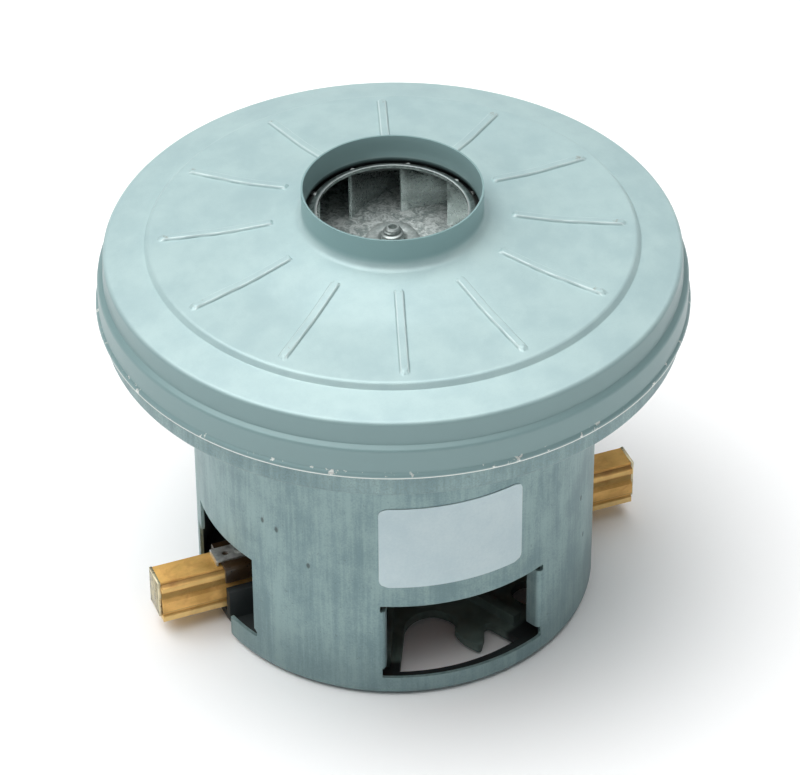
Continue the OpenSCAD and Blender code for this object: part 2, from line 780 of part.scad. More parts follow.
module field_core_plan() {
    difference() {
        circle(r = field_r);
        circle(r = yoke_in_r);
    }
    for (side = [-90, 90]) rotate(side) difference() {
        union() {
            translate([pole_r, -neck_w / 2]) square([yoke_in_r - pole_r + 1, neck_w]);
            intersection() {
                circle(r = shoe_r);
                polygon([
                    [0, 0], far * [cos(shoe_half), -sin(shoe_half)],
                    [far, 0], far * [cos(shoe_half), sin(shoe_half)]
                ]);
            }
        }
        circle(r = pole_r);
    }
}
module field_core() {
    color("#6d7274") translate([0, 0, core_z]) linear_extrude(height = core_len) field_core_plan();
}

// Frame round a pole neck, built along -Y
module neck_frame(hole_w, hole_h, wall, y_in, depth) {
    translate([0, -y_in, core_z + core_len / 2])
        rotate([90, 0, 0])
            linear_extrude(height = depth)
                difference() {
                    round_rect(hole_w + 2 * wall, hole_h + 2 * wall, min(wall, 3));
                    square([hole_w, hole_h], center = true);
                }
}
module field_bobbins() {
    color("#d8d4c4")
        each_side() intersection() {
            union() {
                neck_frame(neck_w + 0.04, core_len + 0.04, bobbin_t, coil_in_y - 0.4, coil_out_r - coil_in_y);
                neck_frame(neck_w + 0.04, core_len + 0.04, coil_w * 0.8, coil_in_y - 0.5, 0.4);
            }
            translate([0, 0, core_z - far / 2]) ring(coil_out_r, shoe_r + 0.05, 0, far * 2);
        }
}
module field_coil() {
    intersection() {
        neck_frame(coil_hole_w, coil_hole_h, coil_w, coil_in_y, coil_out_r - coil_in_y);
        translate([0, 0, core_z - far / 2]) ring(coil_out_r, shoe_r + 0.3, 0, far * 2);
    }
}
module field_coil_front() color("#a5582c") field_coil();
module field_coil_rear() color("#a5582c") rotate([0, 0, 180]) field_coil();

// A lead from a field coil down to the tag on the brush holder next to it
coil_low_z = core_z - bobbin_t - 0.05 - coil_w;
tag_z = tube_top_z + sleeve_t;
lead_end_z = tag_z + tag_t;
lead_points = [
    [-(neck_w / 2 - 3), -(coil_in_y + 3), coil_low_z - 0.02],
    [-(neck_w / 2 - 3), -(coil_in_y + 3), coil_low_z - 0.7],
    [-(neck_w / 2 - 3), -(coil_in_y + 3), coil_low_z - 1.5],
    [-(neck_w / 2 + 0.5), -(coil_in_y + 2), coil_low_z - 3.2],
    [-(neck_w / 2 + 8), -(coil_in_y - 6), coil_low_z - 4.4],
    [-(wall_in_r - 14), -(coil_in_y - 14), coil_low_z - 5.2],
    [-(wall_in_r - 12.5), -6, lead_end_z + 3.8],
    [-(wall_in_r - 12.5), -1.6, lead_end_z + 3.2],
    [-(wall_in_r - 12.5), 0, lead_end_z + 1.8],
    [-(wall_in_r - 12.5), 0, lead_end_z + 0.07]
];
function between(p, n) = [
    for (i = [0:len(p) - 2])
        let (
            a = p[max(i - 1, 0)], b = p[i], c = p[i + 1], d = p[min(i + 2, len(p) - 1)]
        )
        for (k = [0:n - 1])
            let (t = k / n)
            0.5 * (
                2 * b + (c - a) * t + (2 * a - 5 * b + 4 * c - d) * t * t
                + (3 * b - a - 3 * c + d) * t * t * t
            )
];
module field_leads() {
    color("#2a2d30")
        each_side()
            tube_along(concat(between(lead_points, 3), [lead_points[len(lead_points) - 1]]), lead_r, 8);
}

// Outline of the folded brass holder, across its length, from its top face down
half_slot = slot_w / 2;
function holder_side() = let (w = half_slot + holder_t, d = tube_top_z - tube_low_z) [
    [w - 0.4, 0], [w - 0.4, 0.8], [w + 0.8, 1.1], [w + 0.8, 2.5], [w, 3.1], [w, 4.8],
    [w + 0.85, 5.5], [w + 0.85, d - 2.7], [w + 0.2, d - 2.3], [w + 0.2, d - 1.8],
    [w + 0.7, d - 1.4], [w + 0.7, d]
];
module holder_plan() {
    side = holder_side();
    difference() {
        polygon(concat(
            [for (p = side) [p[0], tube_top_z - p[1]]],
            [for (i = [len(side) - 1:-1:0]) [-side[i][0], tube_top_z - side[i][1]]]
        ));
        translate([-half_slot, slot_z]) square([slot_w, slot_h]);
        translate([-1.6, tube_low_z - 1]) square([3.2, slot_z - tube_low_z + 1 - holder_t]);
    }
}
// Extrudes an outline drawn across X out along +X
module along_x(x0, x1) translate([x0, 0, 0]) rotate([90, 0, 90]) linear_extrude(height = x1 - x0) children();

module brush_holder() {
    difference() {
        along_x(holder_in, cap_in) holder_plan();
        translate([tag_x, 0, tube_top_z - holder_t - 0.5]) cylinder(r = stud_r, h = 5);
    }
}
// Length of the sleeve that goes all round, and the height of its sides beyond that
sleeve_full = 9.6;
sleeve_skirt = 3.4;
module brush_sleeve() {
    difference() {
        along_x(sleeve_in, sleeve_end)
            translate([0, (tube_top_z + tube_low_z) / 2])
                round_rect(2 * sleeve_half, tube_top_z - tube_low_z + 2 * sleeve_t, 0.8);
        along_x(sleeve_in - 1, sleeve_end + 1)
            translate([-sleeve_half + sleeve_t, tube_low_z])
                square([2 * (sleeve_half - sleeve_t), tube_top_z - tube_low_z]);
        along_x(sleeve_in + sleeve_full, sleeve_end + 1)
            translate([-far, -far])
                square([2 * far, far + tube_top_z - sleeve_skirt]);
        translate([tag_x, 0, tube_top_z - 1]) cylinder(r = stud_r, h = 5);
    }
}
module brush_cap() {
    along_x(cap_in, holder_end)
        translate([0, slot_z + slot_h / 2])
            square([slot_w + 2 * holder_t - 0.4, slot_h + 2 * holder_t + 0.2], center = true);
    along_x(cap_in - 2, cap_in) translate([0, slot_z + slot_h / 2])
        difference() {
            square([slot_w - 0.1, slot_h - 0.1], center = true);
            square([slot_w - 1.1, slot_h - 1.1], center = true);
        }
}
tag_x = frame_r - 7.6;
stud_r = 0.9;
module terminal_tag() {
    tag_out = sleeve_end + 1.2;
    difference() {
        union() {
            translate([tag_x - 10, -tag_w / 2, tag_z]) cube([tag_out - tag_x + 10, tag_w, tag_t]);
            translate([tag_out - tag_t, -tag_w / 2, tube_top_z])
                cube([tag_t, tag_w, tag_z - tube_top_z + 0.1]);
        }
        translate([tag_x + 3.6, 0, tag_z - 1]) cylinder(r = 0.8, h = 3);
        translate([tag_x, 0, tag_z - 1]) cylinder(r = stud_r, h = 3);
    }
    translate([tag_x, 0, tube_top_z - holder_t])
        cylinder(r = stud_r - 0.02, h = sleeve_t + tag_t + holder_t + 0.5);
    translate([tag_x, 0, tag_z + tag_t]) cylinder(r = 1.5, h = 0.5);
}
module carbon_brush() {
    difference() {
        translate([comm_r - 3, -brush_w / 2, slot_z + brush_gap])
            cube([brush_out - comm_r + 3, brush_w, brush_h]);
        cylinder(r = brush_in, h = far);
        translate([brush_out - 1.2, 0, slot_z + slot_h / 2])
            rotate([0, 90, 0]) cylinder(r = spring_r + spring_wire_r + 0.15, h = 3);
    }
}
spring_r = 2.0;
module brush_spring() {
    x0 = brush_out - 1.1 + spring_wire_r;
    x1 = cap_in - spring_wire_r - 0.1;
    steps = 8;
    last = spring_turns * steps;
    middle = [x0, 0, slot_z + slot_h / 2];
    tube_along([
        for (i = [0:last])
            let (a = 360 * i / steps) middle + [(x1 - x0) * i / last, spring_r * cos(a), spring_r * sin(a)]
    ], spring_wire_r, 6);
}

module on_left() rotate([0, 0, 180]) children();
module brush_holder_left() color("#b58a45") on_left() brush_holder();
module brush_holder_right() color("#b58a45") brush_holder();
module brush_sleeve_left() color("#1b1b1a") on_left() brush_sleeve();
module brush_sleeve_right() color("#1b1b1a") brush_sleeve();
module brush_cap_left() color("#8c7a55") on_left() brush_cap();
module brush_cap_right() color("#8c7a55") brush_cap();
module terminal_tag_left() color("#b9bcb8") on_left() terminal_tag();
module terminal_tag_right() color("#b9bcb8") terminal_tag();
module carbon_brush_left() color("#2c2c2e") on_left() carbon_brush();
module carbon_brush_right() color("#2c2c2e") carbon_brush();
module brush_spring_left() color("#c0c0ba") on_left() brush_spring();
module brush_spring_right() color("#c0c0ba") brush_spring();

// Outline of the threaded tip: rounded ridges one pitch apart under a chamfered end
function thread_profile() =
    let (root = thread_r - 0.35, turns = floor((tip_h - 0.7) / thread_pitch), z0 = nut_z + nut_h - 0.2)
    concat(
        [[0, z0], [root, z0]],
        [
            for (k = [0:turns - 1])
                for (p = [[root, 0.3], [thread_r, 0.6], [thread_r, 0.9], [root, 1.2]])
                    [p[0], z0 + 0.2 + thread_pitch * (k + p[1] / 1.2 - 0.25)]
        ],
        [
            [root, tip_z - 0.8], [thread_r, tip_z - 0.6], [thread_r - 0.1, tip_z - 0.3],
            [thread_r - 0.6, tip_z], [0, tip_z]
        ]
    );

module shaft() {
    color("#c2c6c5")
        difference() {
            union() {
                translate([0, 0, brush_race_z + 0.2])
                    cylinder(r = brush_bore_r, h = comm_top_z - brush_race_z);
                translate([0, 0, comm_top_z]) cylinder(r = shaft_r, h = fan_race_z - comm_top_z);
                translate([0, 0, fan_race_z]) cylinder(r = fan_bore_r, h = fan_back_z - fan_race_z);
                translate([0, 0, fan_back_z]) cylinder(r = thread_r, h = nut_z + nut_h - fan_back_z);
                rotate_extrude() polygon(thread_profile());
            }
            translate([0, 0, tip_z - 2]) cylinder(r = 0.9, h = 3);
        }
}

slot_deep_r = shaft_r + 5.5;
slot_top_r = core_r - 1.4;
slot_half_w = 2.5;
module slot_plan(gap) {
    translate([slot_deep_r + gap, -slot_half_w + gap])
        square([slot_top_r - slot_deep_r - 2 * gap, 2 * slot_half_w - 2 * gap]);
}
module armature_plan(r) {
    difference() {
        circle(r = r);
        circle(r = shaft_r);
        for (k = [0:slot_count - 1]) rotate(360 * k / slot_count) {
            slot_plan(0);
            translate([slot_top_r - 0.5, -0.9]) square([5, 1.8]);
        }
    }
}
module armature_core() {
    color("#707577") translate([0, 0, core_z]) linear_extrude(height = core_len) armature_plan(core_r);
}
module armature_end_discs() {
    color("#b5382c")
        for (z = [core_z - end_disc_t, core_top_z])
            translate([0, 0, z]) linear_extrude(height = end_disc_t) armature_plan(core_r - 0.6);
}
module armature_winding() {
    bundle_in_r = shaft_r + 1.5;
    tail = tail_len - 0.6;
    tail_z = core_z - end_disc_t;
    color("#9c4f27") {
        for (k = [0:slot_count - 1])
            rotate([0, 0, 360 * k / slot_count])
                translate([0, 0, tail_z - 0.5])
                    linear_extrude(height = core_len + 2 * end_disc_t + 1) slot_plan(0.2);
        rotate_extrude()
            polygon([
                [bundle_in_r, tail_z], [slot_top_r - 0.2, tail_z], [slot_top_r - 0.2, tail_z - tail * 0.45],
                [slot_top_r - 3, tail_z - tail * 0.75], [comm_r + 0.6, tail_z - tail],
                [bundle_in_r, tail_z - tail]
            ]);
        rotate_extrude()
            polygon([
                [bundle_in_r, core_top_z + end_disc_t], [slot_top_r - 0.2, core_top_z + end_disc_t],
                [slot_top_r - 1, head_top_z - 0.8], [slot_top_r - 2.4, head_top_z], [bundle_in_r, head_top_z]
            ]);
    }
}
bar_in_r = comm_r - bar_depth;
module commutator_hub() {
    color("#2e2420") {
        ring(bar_in_r, brush_bore_r, comm_z - 0.1, comm_top_z - comm_z + 0.1);
    }
}
module commutator_bars() {
    slit = 0.6;
    near = bar_in_r / 2;
    spread = tan(180 / bar_count);
    color("#b8683a")
        for (k = [0:bar_count - 1])
            rotate([0, 0, 360 * k / bar_count])
                intersection() {
                    union() {
                        ring(comm_r, bar_in_r, comm_z, bar_len);
                        ring(comm_r + 1.4, bar_in_r, riser_z, riser_h);
                    }
                    linear_extrude(height = comm_top_z + 1)
                        polygon([
                            [near, slit / 2 - near * spread], [far, slit / 2 - far * spread],
                            [far, far * spread - slit / 2], [near, near * spread - slit / 2]
                        ]);
                }
}

module fan_sleeve() {
    color("#b4b8b6") ring(fan_bore_r + 1.7, fan_bore_r, plate_top_z, fan_back_z - washer_t - plate_top_z);
}
module fan_washers() {
    color("#a8aeac") {
        ring(washer_r, fan_bore_r, fan_back_z - washer_t, washer_t);
        ring(nut_af / 2 + 0.2, thread_r, fan_back_z + fan_t, washer_t);
    }
}
module fan_nut() {
    across_corners = nut_af / cos(30);
    color("#aeb4b1")
        difference() {
            intersection() {
                translate([0, 0, nut_z])
                    rotate([0, 0, nut_turn]) cylinder(d = across_corners, h = nut_h, $fn = 6);
                translate([0, 0, nut_z - 1])
                    rotate_extrude() polygon([
                        [0, 0], [across_corners / 2 + 1, 0], [across_corners / 2 + 1, nut_h + 0.4],
                        [across_corners / 2 - 0.2, nut_h + 0.7], [nut_af / 2 - 0.1, nut_h + 1], [0, nut_h + 1]
                    ]);
            }
            translate([0, 0, nut_z - 1]) cylinder(r = thread_r, h = nut_h + 2);
            translate([0, 0, nut_z + nut_h - 0.8]) cylinder(r1 = thread_r, r2 = thread_r + 0.65, h = 0.81);
        }
}

front_path = rounded([
    [eye_r, eye_z],
    [eye_r + eye_ring_w, eye_z - 0.2, 1.2],
    [eye_r + eye_ring_w + 1.8, eye_z - 0.2 - eye_drop, 1.2],
    [eye_r + 9.2, eye_z - 0.2 - eye_drop - 1.7, 6],
    [fan_r, fan_edge_z]
]);
module fan_back_plate() color("#a9b2b0") ring(fan_r, thread_r, fan_back_z, fan_t);
module fan_front_plate() color("#a9b2b0") rotate_extrude() polygon(sheet(front_path, -fan_t));
blade_in_r = eye_r + 0.4;
module each_blade() {
    for (k = [0:blade_count - 1]) rotate([0, 0, blade_turn + 360 * k / blade_count]) children();
}
module fan_blades() {
    under = beside(front_path, -fan_t - 0.01);
    color("#b3bbb9")
        each_blade() intersection() {
            translate([0, 0, fan_back_z + fan_t])
                linear_extrude(height = eye_z - fan_back_z)
                    vane_plan(blade_in_r, fan_r - 1, -blade_sweep, fan_t, 9);
            rotate_extrude()
                polygon(concat([[0, fan_back_z], [0, under[0][1]]], under, [[fan_r, fan_back_z]]));
        }
}
// Staked tabs of the blades on both plates
tab_places = [0.017, 0.1, 0.5, 0.85];
tab_w = fan_t * 1.5;
tab_steps = 60;
function front_z(r) = lookup(r, front_path);
module fan_tabs() {
    line = vane_line(blade_in_r, fan_r - 1, -blade_sweep, tab_steps);
    color("#c3c9c7")
        each_blade()
            for (s = tab_places)
                let (i = round(s * tab_steps), p = line[i], d = line[i + 1] - line[i - 1], r = norm(p))
                translate([p[0], p[1], 0])
                    rotate([0, 0, atan2(d[1], d[0])]) {
                        translate([-tab_l / 2, -tab_w / 2, fan_back_z - tab_h]) cube([tab_l, tab_w, tab_h]);
                        difference() {
                            translate([-tab_l / 2, -tab_w / 2, front_z(r) - fan_t * 0.6])
                                cube([tab_l, tab_w, tab_h + fan_t * 0.6]);
                            rotate([0, 0, -atan2(d[1], d[0])]) translate([-p[0], -p[1], 0])
                                rotate_extrude() polygon(concat([[0, 0], [0, front_path[0][1]]], front_path, [[fan_r, 0]]));
                        }
                    }
}

motor_frame();
rating_label();
fan_cover();
diffuser();
fan_end_bracket();
bearing_retainer();
retainer_screws();
bracket_rivets();
preload_washer();
fan_end_race_outer();
fan_end_shields();
brush_end_bracket();
brush_bracket_screws();
brush_end_race_outer();
brush_end_shields();
field_core();
field_bobbins();
field_coil_front();
field_coil_rear();
field_leads();
brush_holder_left();
brush_holder_right();
brush_sleeve_left();
brush_sleeve_right();
brush_cap_left();
brush_cap_right();
terminal_tag_left();
terminal_tag_right();
carbon_brush_left();
carbon_brush_right();
brush_spring_left();
brush_spring_right();
shaft();
armature_core();
armature_end_discs();
armature_winding();
commutator_hub();
commutator_bars();
fan_end_race_inner();
brush_end_race_inner();
fan_sleeve();
fan_washers();
fan_nut();
fan_back_plate();
fan_blades();
fan_front_plate();
fan_tabs();
fan_end_balls();
fan_end_cage();
brush_end_balls();
brush_end_cage();
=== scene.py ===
"""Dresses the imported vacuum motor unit: finer sheet metal, a built fan, finishes, light and camera."""

import logging
import math
from dataclasses import dataclass, field
from enum import Enum

import bmesh
import bpy
import numpy as np
from mathutils import Matrix, Vector


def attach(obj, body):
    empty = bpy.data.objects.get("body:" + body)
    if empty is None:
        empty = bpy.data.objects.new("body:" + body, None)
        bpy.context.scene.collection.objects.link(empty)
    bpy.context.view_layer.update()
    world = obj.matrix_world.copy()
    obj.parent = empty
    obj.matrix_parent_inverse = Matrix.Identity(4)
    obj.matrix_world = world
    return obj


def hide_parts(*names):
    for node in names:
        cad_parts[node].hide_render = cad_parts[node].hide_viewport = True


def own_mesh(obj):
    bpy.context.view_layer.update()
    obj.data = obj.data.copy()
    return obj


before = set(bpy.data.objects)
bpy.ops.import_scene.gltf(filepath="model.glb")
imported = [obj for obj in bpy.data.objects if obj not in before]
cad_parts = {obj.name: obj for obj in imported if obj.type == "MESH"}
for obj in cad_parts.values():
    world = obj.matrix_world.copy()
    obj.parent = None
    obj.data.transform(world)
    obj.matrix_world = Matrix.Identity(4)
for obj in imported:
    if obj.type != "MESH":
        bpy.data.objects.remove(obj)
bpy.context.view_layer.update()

MM = 0.001
WELD = 2e-6
LOG = logging.getLogger("motor")
Point = tuple[float, ...]
Row = tuple[object, object]


class Body(Enum):
    """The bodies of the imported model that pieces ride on."""

    HOUSING = "housing"
    ROTOR = "rotor"


def linear(code: str) -> tuple[float, float, float, float]:
    """Turns a screen colour into the colour that a shader takes.

    Args:
        code: Six hexadecimal digits.

    Returns:
        Red, green, blue and alpha.
    """
    parts = [int(code[i:i + 2], 16) / 255 for i in (0, 2, 4)]
    return (*[p / 12.92 if p <= 0.04045 else ((p + 0.055) / 1.055) ** 2.4 for p in parts], 1.0)


class Wire:
    """A node's output that takes part in sums."""

    def __init__(self, sheet: "Sheet", socket: bpy.types.NodeSocket) -> None:
        """Keeps the tree and the socket."""
        self.sheet = sheet
        self.socket = socket

    def out(self, name: str) -> "Wire":
        """Gives another output of the same node."""
        return Wire(self.sheet, self.socket.node.outputs[name])

    def math(self, operation: str, *others: object) -> "Wire":
        """Adds a Math node that starts from this value.

        Args:
            operation: The Math node's operation.
            others: The values after this one.

        Returns:
            The node's value.
        """
        return self.sheet.math(operation, self, *others)

    def __add__(self, other: object) -> "Wire":
        """Adds."""
        return self.math("ADD", other)

    def __radd__(self, other: object) -> "Wire":
        """Adds from the left."""
        return self.math("ADD", other)

    def __sub__(self, other: object) -> "Wire":
        """Subtracts."""
        return self.math("SUBTRACT", other)

    def __rsub__(self, other: object) -> "Wire":
        """Subtracts this from a number."""
        return self.sheet.math("SUBTRACT", other, self)

    def __mul__(self, other: object) -> "Wire":
        """Multiplies."""
        return self.math("MULTIPLY", other)

    def __rmul__(self, other: object) -> "Wire":
        """Multiplies from the left."""
        return self.math("MULTIPLY", other)

    def __truediv__(self, other: object) -> "Wire":
        """Divides."""
        return self.math("DIVIDE", other)

    def __abs__(self) -> "Wire":
        """Drops the sign."""
        return self.math("ABSOLUTE")

    def above(self, low: float, high: float) -> "Wire":
        """Rises smoothly from 0 to 1.

        Args:
            low: Where it is 0.
            high: Where it is 1, above low or below it.

        Returns:
            The share.
        """
        ends = (low, high, 0.0, 1.0) if low < high else (high, low, 1.0, 0.0)
        settings = {"interpolation_type": "SMOOTHSTEP", "clamp": True}
        return self.sheet.node("ShaderNodeMapRange", settings, dict(enumerate((self, *ends))))

    def span(self, low: float, high: float) -> "Wire":
        """Does what above does for a length, between places in millimetres."""
        return self.above(low * MM, high * MM)

    def band(self, middle: float, half: float, soft: float) -> "Wire":
        """Is 1 within half of the middle and fades out over soft, all in millimetres."""
        return abs(self - middle * MM).span(half + soft, half)


def length(first: Wire, *others: Wire) -> Wire:
    """Works out the length of a line.

    Args:
        first: Its part along one axis.
        others: Its parts along the others.

    Returns:
        The length.
    """
    total = first * first
    for part in others:
        total = total + part * part
    return total.math("SQRT")


class Sheet:
    """Writes one node tree, for a shader or for geometry."""

    def __init__(self, tree: bpy.types.NodeTree) -> None:
        """Keeps the tree."""
        self.tree = tree

    def node(self, kind: str, settings: dict | None = None, inputs: dict | None = None) -> Wire:
        """Adds a node.

        Args:
            kind: The node's type.
            settings: Its own settings, set first.
            inputs: Values or wires by a socket's name or place.

        Returns:
            The first output that the node shows.
        """
        node = self.tree.nodes.new(kind)
        for name, value in (settings or {}).items():
            setattr(node, name, value)
        for key, value in (inputs or {}).items():
            if isinstance(value, Wire):
                self.tree.links.new(value.socket, node.inputs[key])
            else:
                node.inputs[key].default_value = value
        shown = [socket for socket in node.outputs if socket.enabled]
        return Wire(self, shown[0] if shown else None)

    def math(self, operation: str, *values: object) -> Wire:
        """Adds a Math node on values or wires."""
        return self.node("ShaderNodeMath", {"operation": operation}, dict(enumerate(values)))

    def place(self) -> Wire:
        """Gives the point in the object's own frame, in metres."""
        return self.node("ShaderNodeTexCoord").out("Object")

    def axes(self, point: Wire) -> tuple[Wire, Wire, Wire]:
        """Splits a vector."""
        parts = self.node("ShaderNodeSeparateXYZ", None, {0: point})
        return parts.out("X"), parts.out("Y"), parts.out("Z")

    def stretched(self, point: Wire, scale: Point) -> Wire:
        """Scales a pattern's coordinates along the axes."""
        return self.node("ShaderNodeMapping", None, {"Vector": point, "Scale": scale})

    def noise(self, point: Wire, size: float, detail: float, rough: float, warp: float = 0) -> Wire:
        """Adds noise whose blots are about size millimetres across."""
        inputs = {"Vector": point, "Scale": 1 / (size * MM), "Detail": detail}
        return self.node("ShaderNodeTexNoise", None, {**inputs, "Roughness": rough, "Distortion": warp})

    def clouds(self, point: Wire, size: float, detail: float = 3, rough: float = 0.6) -> Wire:
        """Gives soft blots that reach from 0 to 1, about size millimetres across."""
        return self.noise(point, size, detail, rough).above(0.35, 0.65)

    def mix(self, share: object, first: object, second: object) -> Wire:
        """Mixes two colours."""
        return self.node("ShaderNodeMix", {"data_type": "RGBA"}, {0: share, 6: first, 7: second})

    def bump(self, height: Wire, depth: float, under: Wire | None = None) -> Wire:
        """Turns a height into relief.

        Args:
            height: The height, from 0 to 1.
            depth: The relief's depth in millimetres.
            under: A relief that this one lies on.

        Returns:
            The bent normal.
        """
        inputs = {"Height": height, "Distance": depth * MM, "Strength": 1.0}
        if under is not None:
            inputs["Normal"] = under
        return self.node("ShaderNodeBump", None, inputs)


@dataclass(frozen=True)
class Finish:
    """A surface that is much the same all over.

    Attributes:
        title: The material's name.
        light: The lighter tone.
        dark: The darker tone.
        metallic: How much of it is bare metal.
        low_gloss: The least roughness.
        high_gloss: The most roughness.
        blot: The size of its blots in millimetres.
        grain: The size of its grain in millimetres.
        relief: The depth of its grain in millimetres.
        coat: The weight of a clear coat.
        coat_gloss: The roughness of the coat.
    """

    title: str
    light: str
    dark: str
    metallic: float = 0.0
    low_gloss: float = 0.4
    high_gloss: float = 0.55
    blot: float = 6.0
    grain: float = 0.6
    relief: float = 0.01
    coat: float = 0.0
    coat_gloss: float = 0.2

    def material(self) -> bpy.types.Material:
        """Makes the material, or finds the one already made.

        Returns:
            The material.
        """
        found = bpy.data.materials.get(self.title)
        if found:
            return found
        material = bpy.data.materials.new(self.title)
        material.use_nodes = True
        material.node_tree.nodes.clear()
        sheet = Sheet(material.node_tree)
        sockets = {"Metallic": self.metallic, "Coat Weight": self.coat, "Coat Roughness": self.coat_gloss}
        sockets.update(self.paint(sheet, sheet.place()))
        shader = sheet.node("ShaderNodeBsdfPrincipled", None, sockets)
        sheet.node("ShaderNodeOutputMaterial", None, {"Surface": shader})
        return material

    def paint(self, sheet: Sheet, point: Wire) -> dict[str, object]:
        """Writes the pattern.

        Args:
            sheet: The material's tree.
            point: The place on the piece.

        Returns:
            The shader's values and wires by socket.
        """
        blots = sheet.noise(point, self.blot, 4, 0.6)
        grain = sheet.noise(point, self.grain, 3, 0.6)
        return {
            "Base Color": self.toned(sheet, (blots * 0.65 + grain * 0.35).above(0.3, 0.7)),
            "Roughness": self.low_gloss + (self.high_gloss - self.low_gloss) * grain,
            "Normal": sheet.bump(grain, self.relief),
        }

    def toned(self, sheet: Sheet, tone: Wire, *layers: tuple[object, str]) -> Wire:
        """Mixes the two tones and lays other colours over them.

        Args:
            sheet: The material's tree.
            tone: 0 for the dark tone and 1 for the light one.
            layers: How much of a screen colour covers what is under it, and the colour.

        Returns:
            The colour.
        """
        colour = sheet.mix(tone, linear(self.dark), linear(self.light))
        for share, code in layers:
            colour = sheet.mix(share, colour, linear(code))
        return colour


@dataclass(frozen=True)
class CoatedSteel(Finish):
    """The cover's satin coating, with scuffs on the ribs and a bare lower edge, and painted light: highlight
    and shade lines on the ribs, shade on the collar's walls and on the upright bands, and a black shadow
    under a highlight on the collar's inner fillet. Sizes are in millimetres.
    """

    edge_z: float = 81.0
    rib_count: int = 12
    rib_turn: float = 11.6
    rib_reach: Point = (39.3, 12.1, 0.5)
    foot_spot: Point = (22.3, 104.2)
    collar_shade_r: Point = (19.9, 19.7)
    inner_side: Point = (21.7, 21.5)
    skirt_shade_z: Point = (94.5, 93.5)
    collar_shade_z: Point = (102.5, 105.0)

    def paint(self, sheet: Sheet, point: Wire) -> dict[str, object]:
        """Writes the coating.

        Args:
            sheet: The material's tree.
            point: The place on the piece.

        Returns:
            The shader's values and wires by socket.
        """
        x, y, z = sheet.axes(point)
        blots = sheet.noise(point, 14, 5, 0.65)
        grain = sheet.noise(point, 0.35, 2, 0.5)
        streaks = sheet.noise(sheet.stretched(point, (1, 1, 6)), 5, 3, 0.5)
        across, radius = self._from_rib(x, y)
        scuffs = sheet.noise(point, 1.3, 4, 0.7).above(0.52, 0.7)
        ends = radius.band(50.5, 1.0, 1.2) + radius.band(27.5, 0.5, 1.0) * 0.5
        worn = (across.span(1.1, 0.2) * (ends * 0.8 + 0.12) * scuffs).above(0.05, 0.7)
        on_rib = radius.band(*self.rib_reach)
        foot = self.foot_spot
        away = length(radius - foot[0] * MM, z - foot[1] * MM)
        # the zone of the collar's inner fillet that takes a painted highlight and a painted shadow
        inside = away.span(2.5, 2.7) * radius.span(*self.inner_side)
        chips = sheet.noise(point, 2.2, 3, 0.7).above(0.6, 0.68) * z.band(self.edge_z + 0.7, 0.4, 0.6)
        bare = z.span(self.edge_z + 0.35, self.edge_z + 0.1).math("MAXIMUM", chips)
        colour = self.toned(
            sheet,
            (blots * 0.6 + streaks * 0.25 + grain * 0.15).above(0.36, 0.64),
            (worn * 0.75, "8d8f86"),
            # painted shade: a dark line along each rib's foot
            (across.band(1.1, 0.04, 0.16) * on_rib * 0.4, "6a8283"),
            # painted highlight: a bright line along each rib's crest
            (across.band(0.8, 0.05, 0.16) * on_rib * 0.4, "eaf4f3"),
            # painted shade on the collar's inner wall
            (radius.span(*self.collar_shade_r) * 0.12, "5d6a64"),
            # painted highlight: a light band on the inner fillet
            (inside * z.band(104.3, 0.2, 0.3) * 0.5, "b4c4c0"),
            # painted shadow: black on the inner fillet below the band
            (inside * z.span(104.05, 103.95) * 0.97, "0c1010"),
            # painted shade on the upright rim and skirt, and on the collar's outer wall
            (z.span(*self.skirt_shade_z) * 0.95, "799495"),
            (z.span(*self.collar_shade_z) * 0.95, "87a5a6"),
            (bare, "d9dcd8"),
        )
        return {
            "Base Color": colour,
            "Metallic": self.metallic + bare * 0.5,
            "Roughness": self.low_gloss + grain * 0.1 + blots * 0.06 - bare * 0.08,
            "Normal": sheet.bump(grain, 0.006, sheet.bump(blots, 0.02)),
        }

    def _from_rib(self, x: Wire, y: Wire) -> tuple[Wire, Wire]:
        """Measures from the middle line of the nearest rib.

        Args:
            x: The first coordinate.
            y: The second coordinate.

        Returns:
            The distance across the rib and the radius, in metres.
        """
        step = 2 * math.pi / self.rib_count
        radius = length(x, y)
        turn = y.math("ARCTAN2", x) / step - math.radians(self.rib_turn) / step + 0.5
        off = (turn.math("FRACT") - 0.5) * step
        return abs(off) * radius, radius


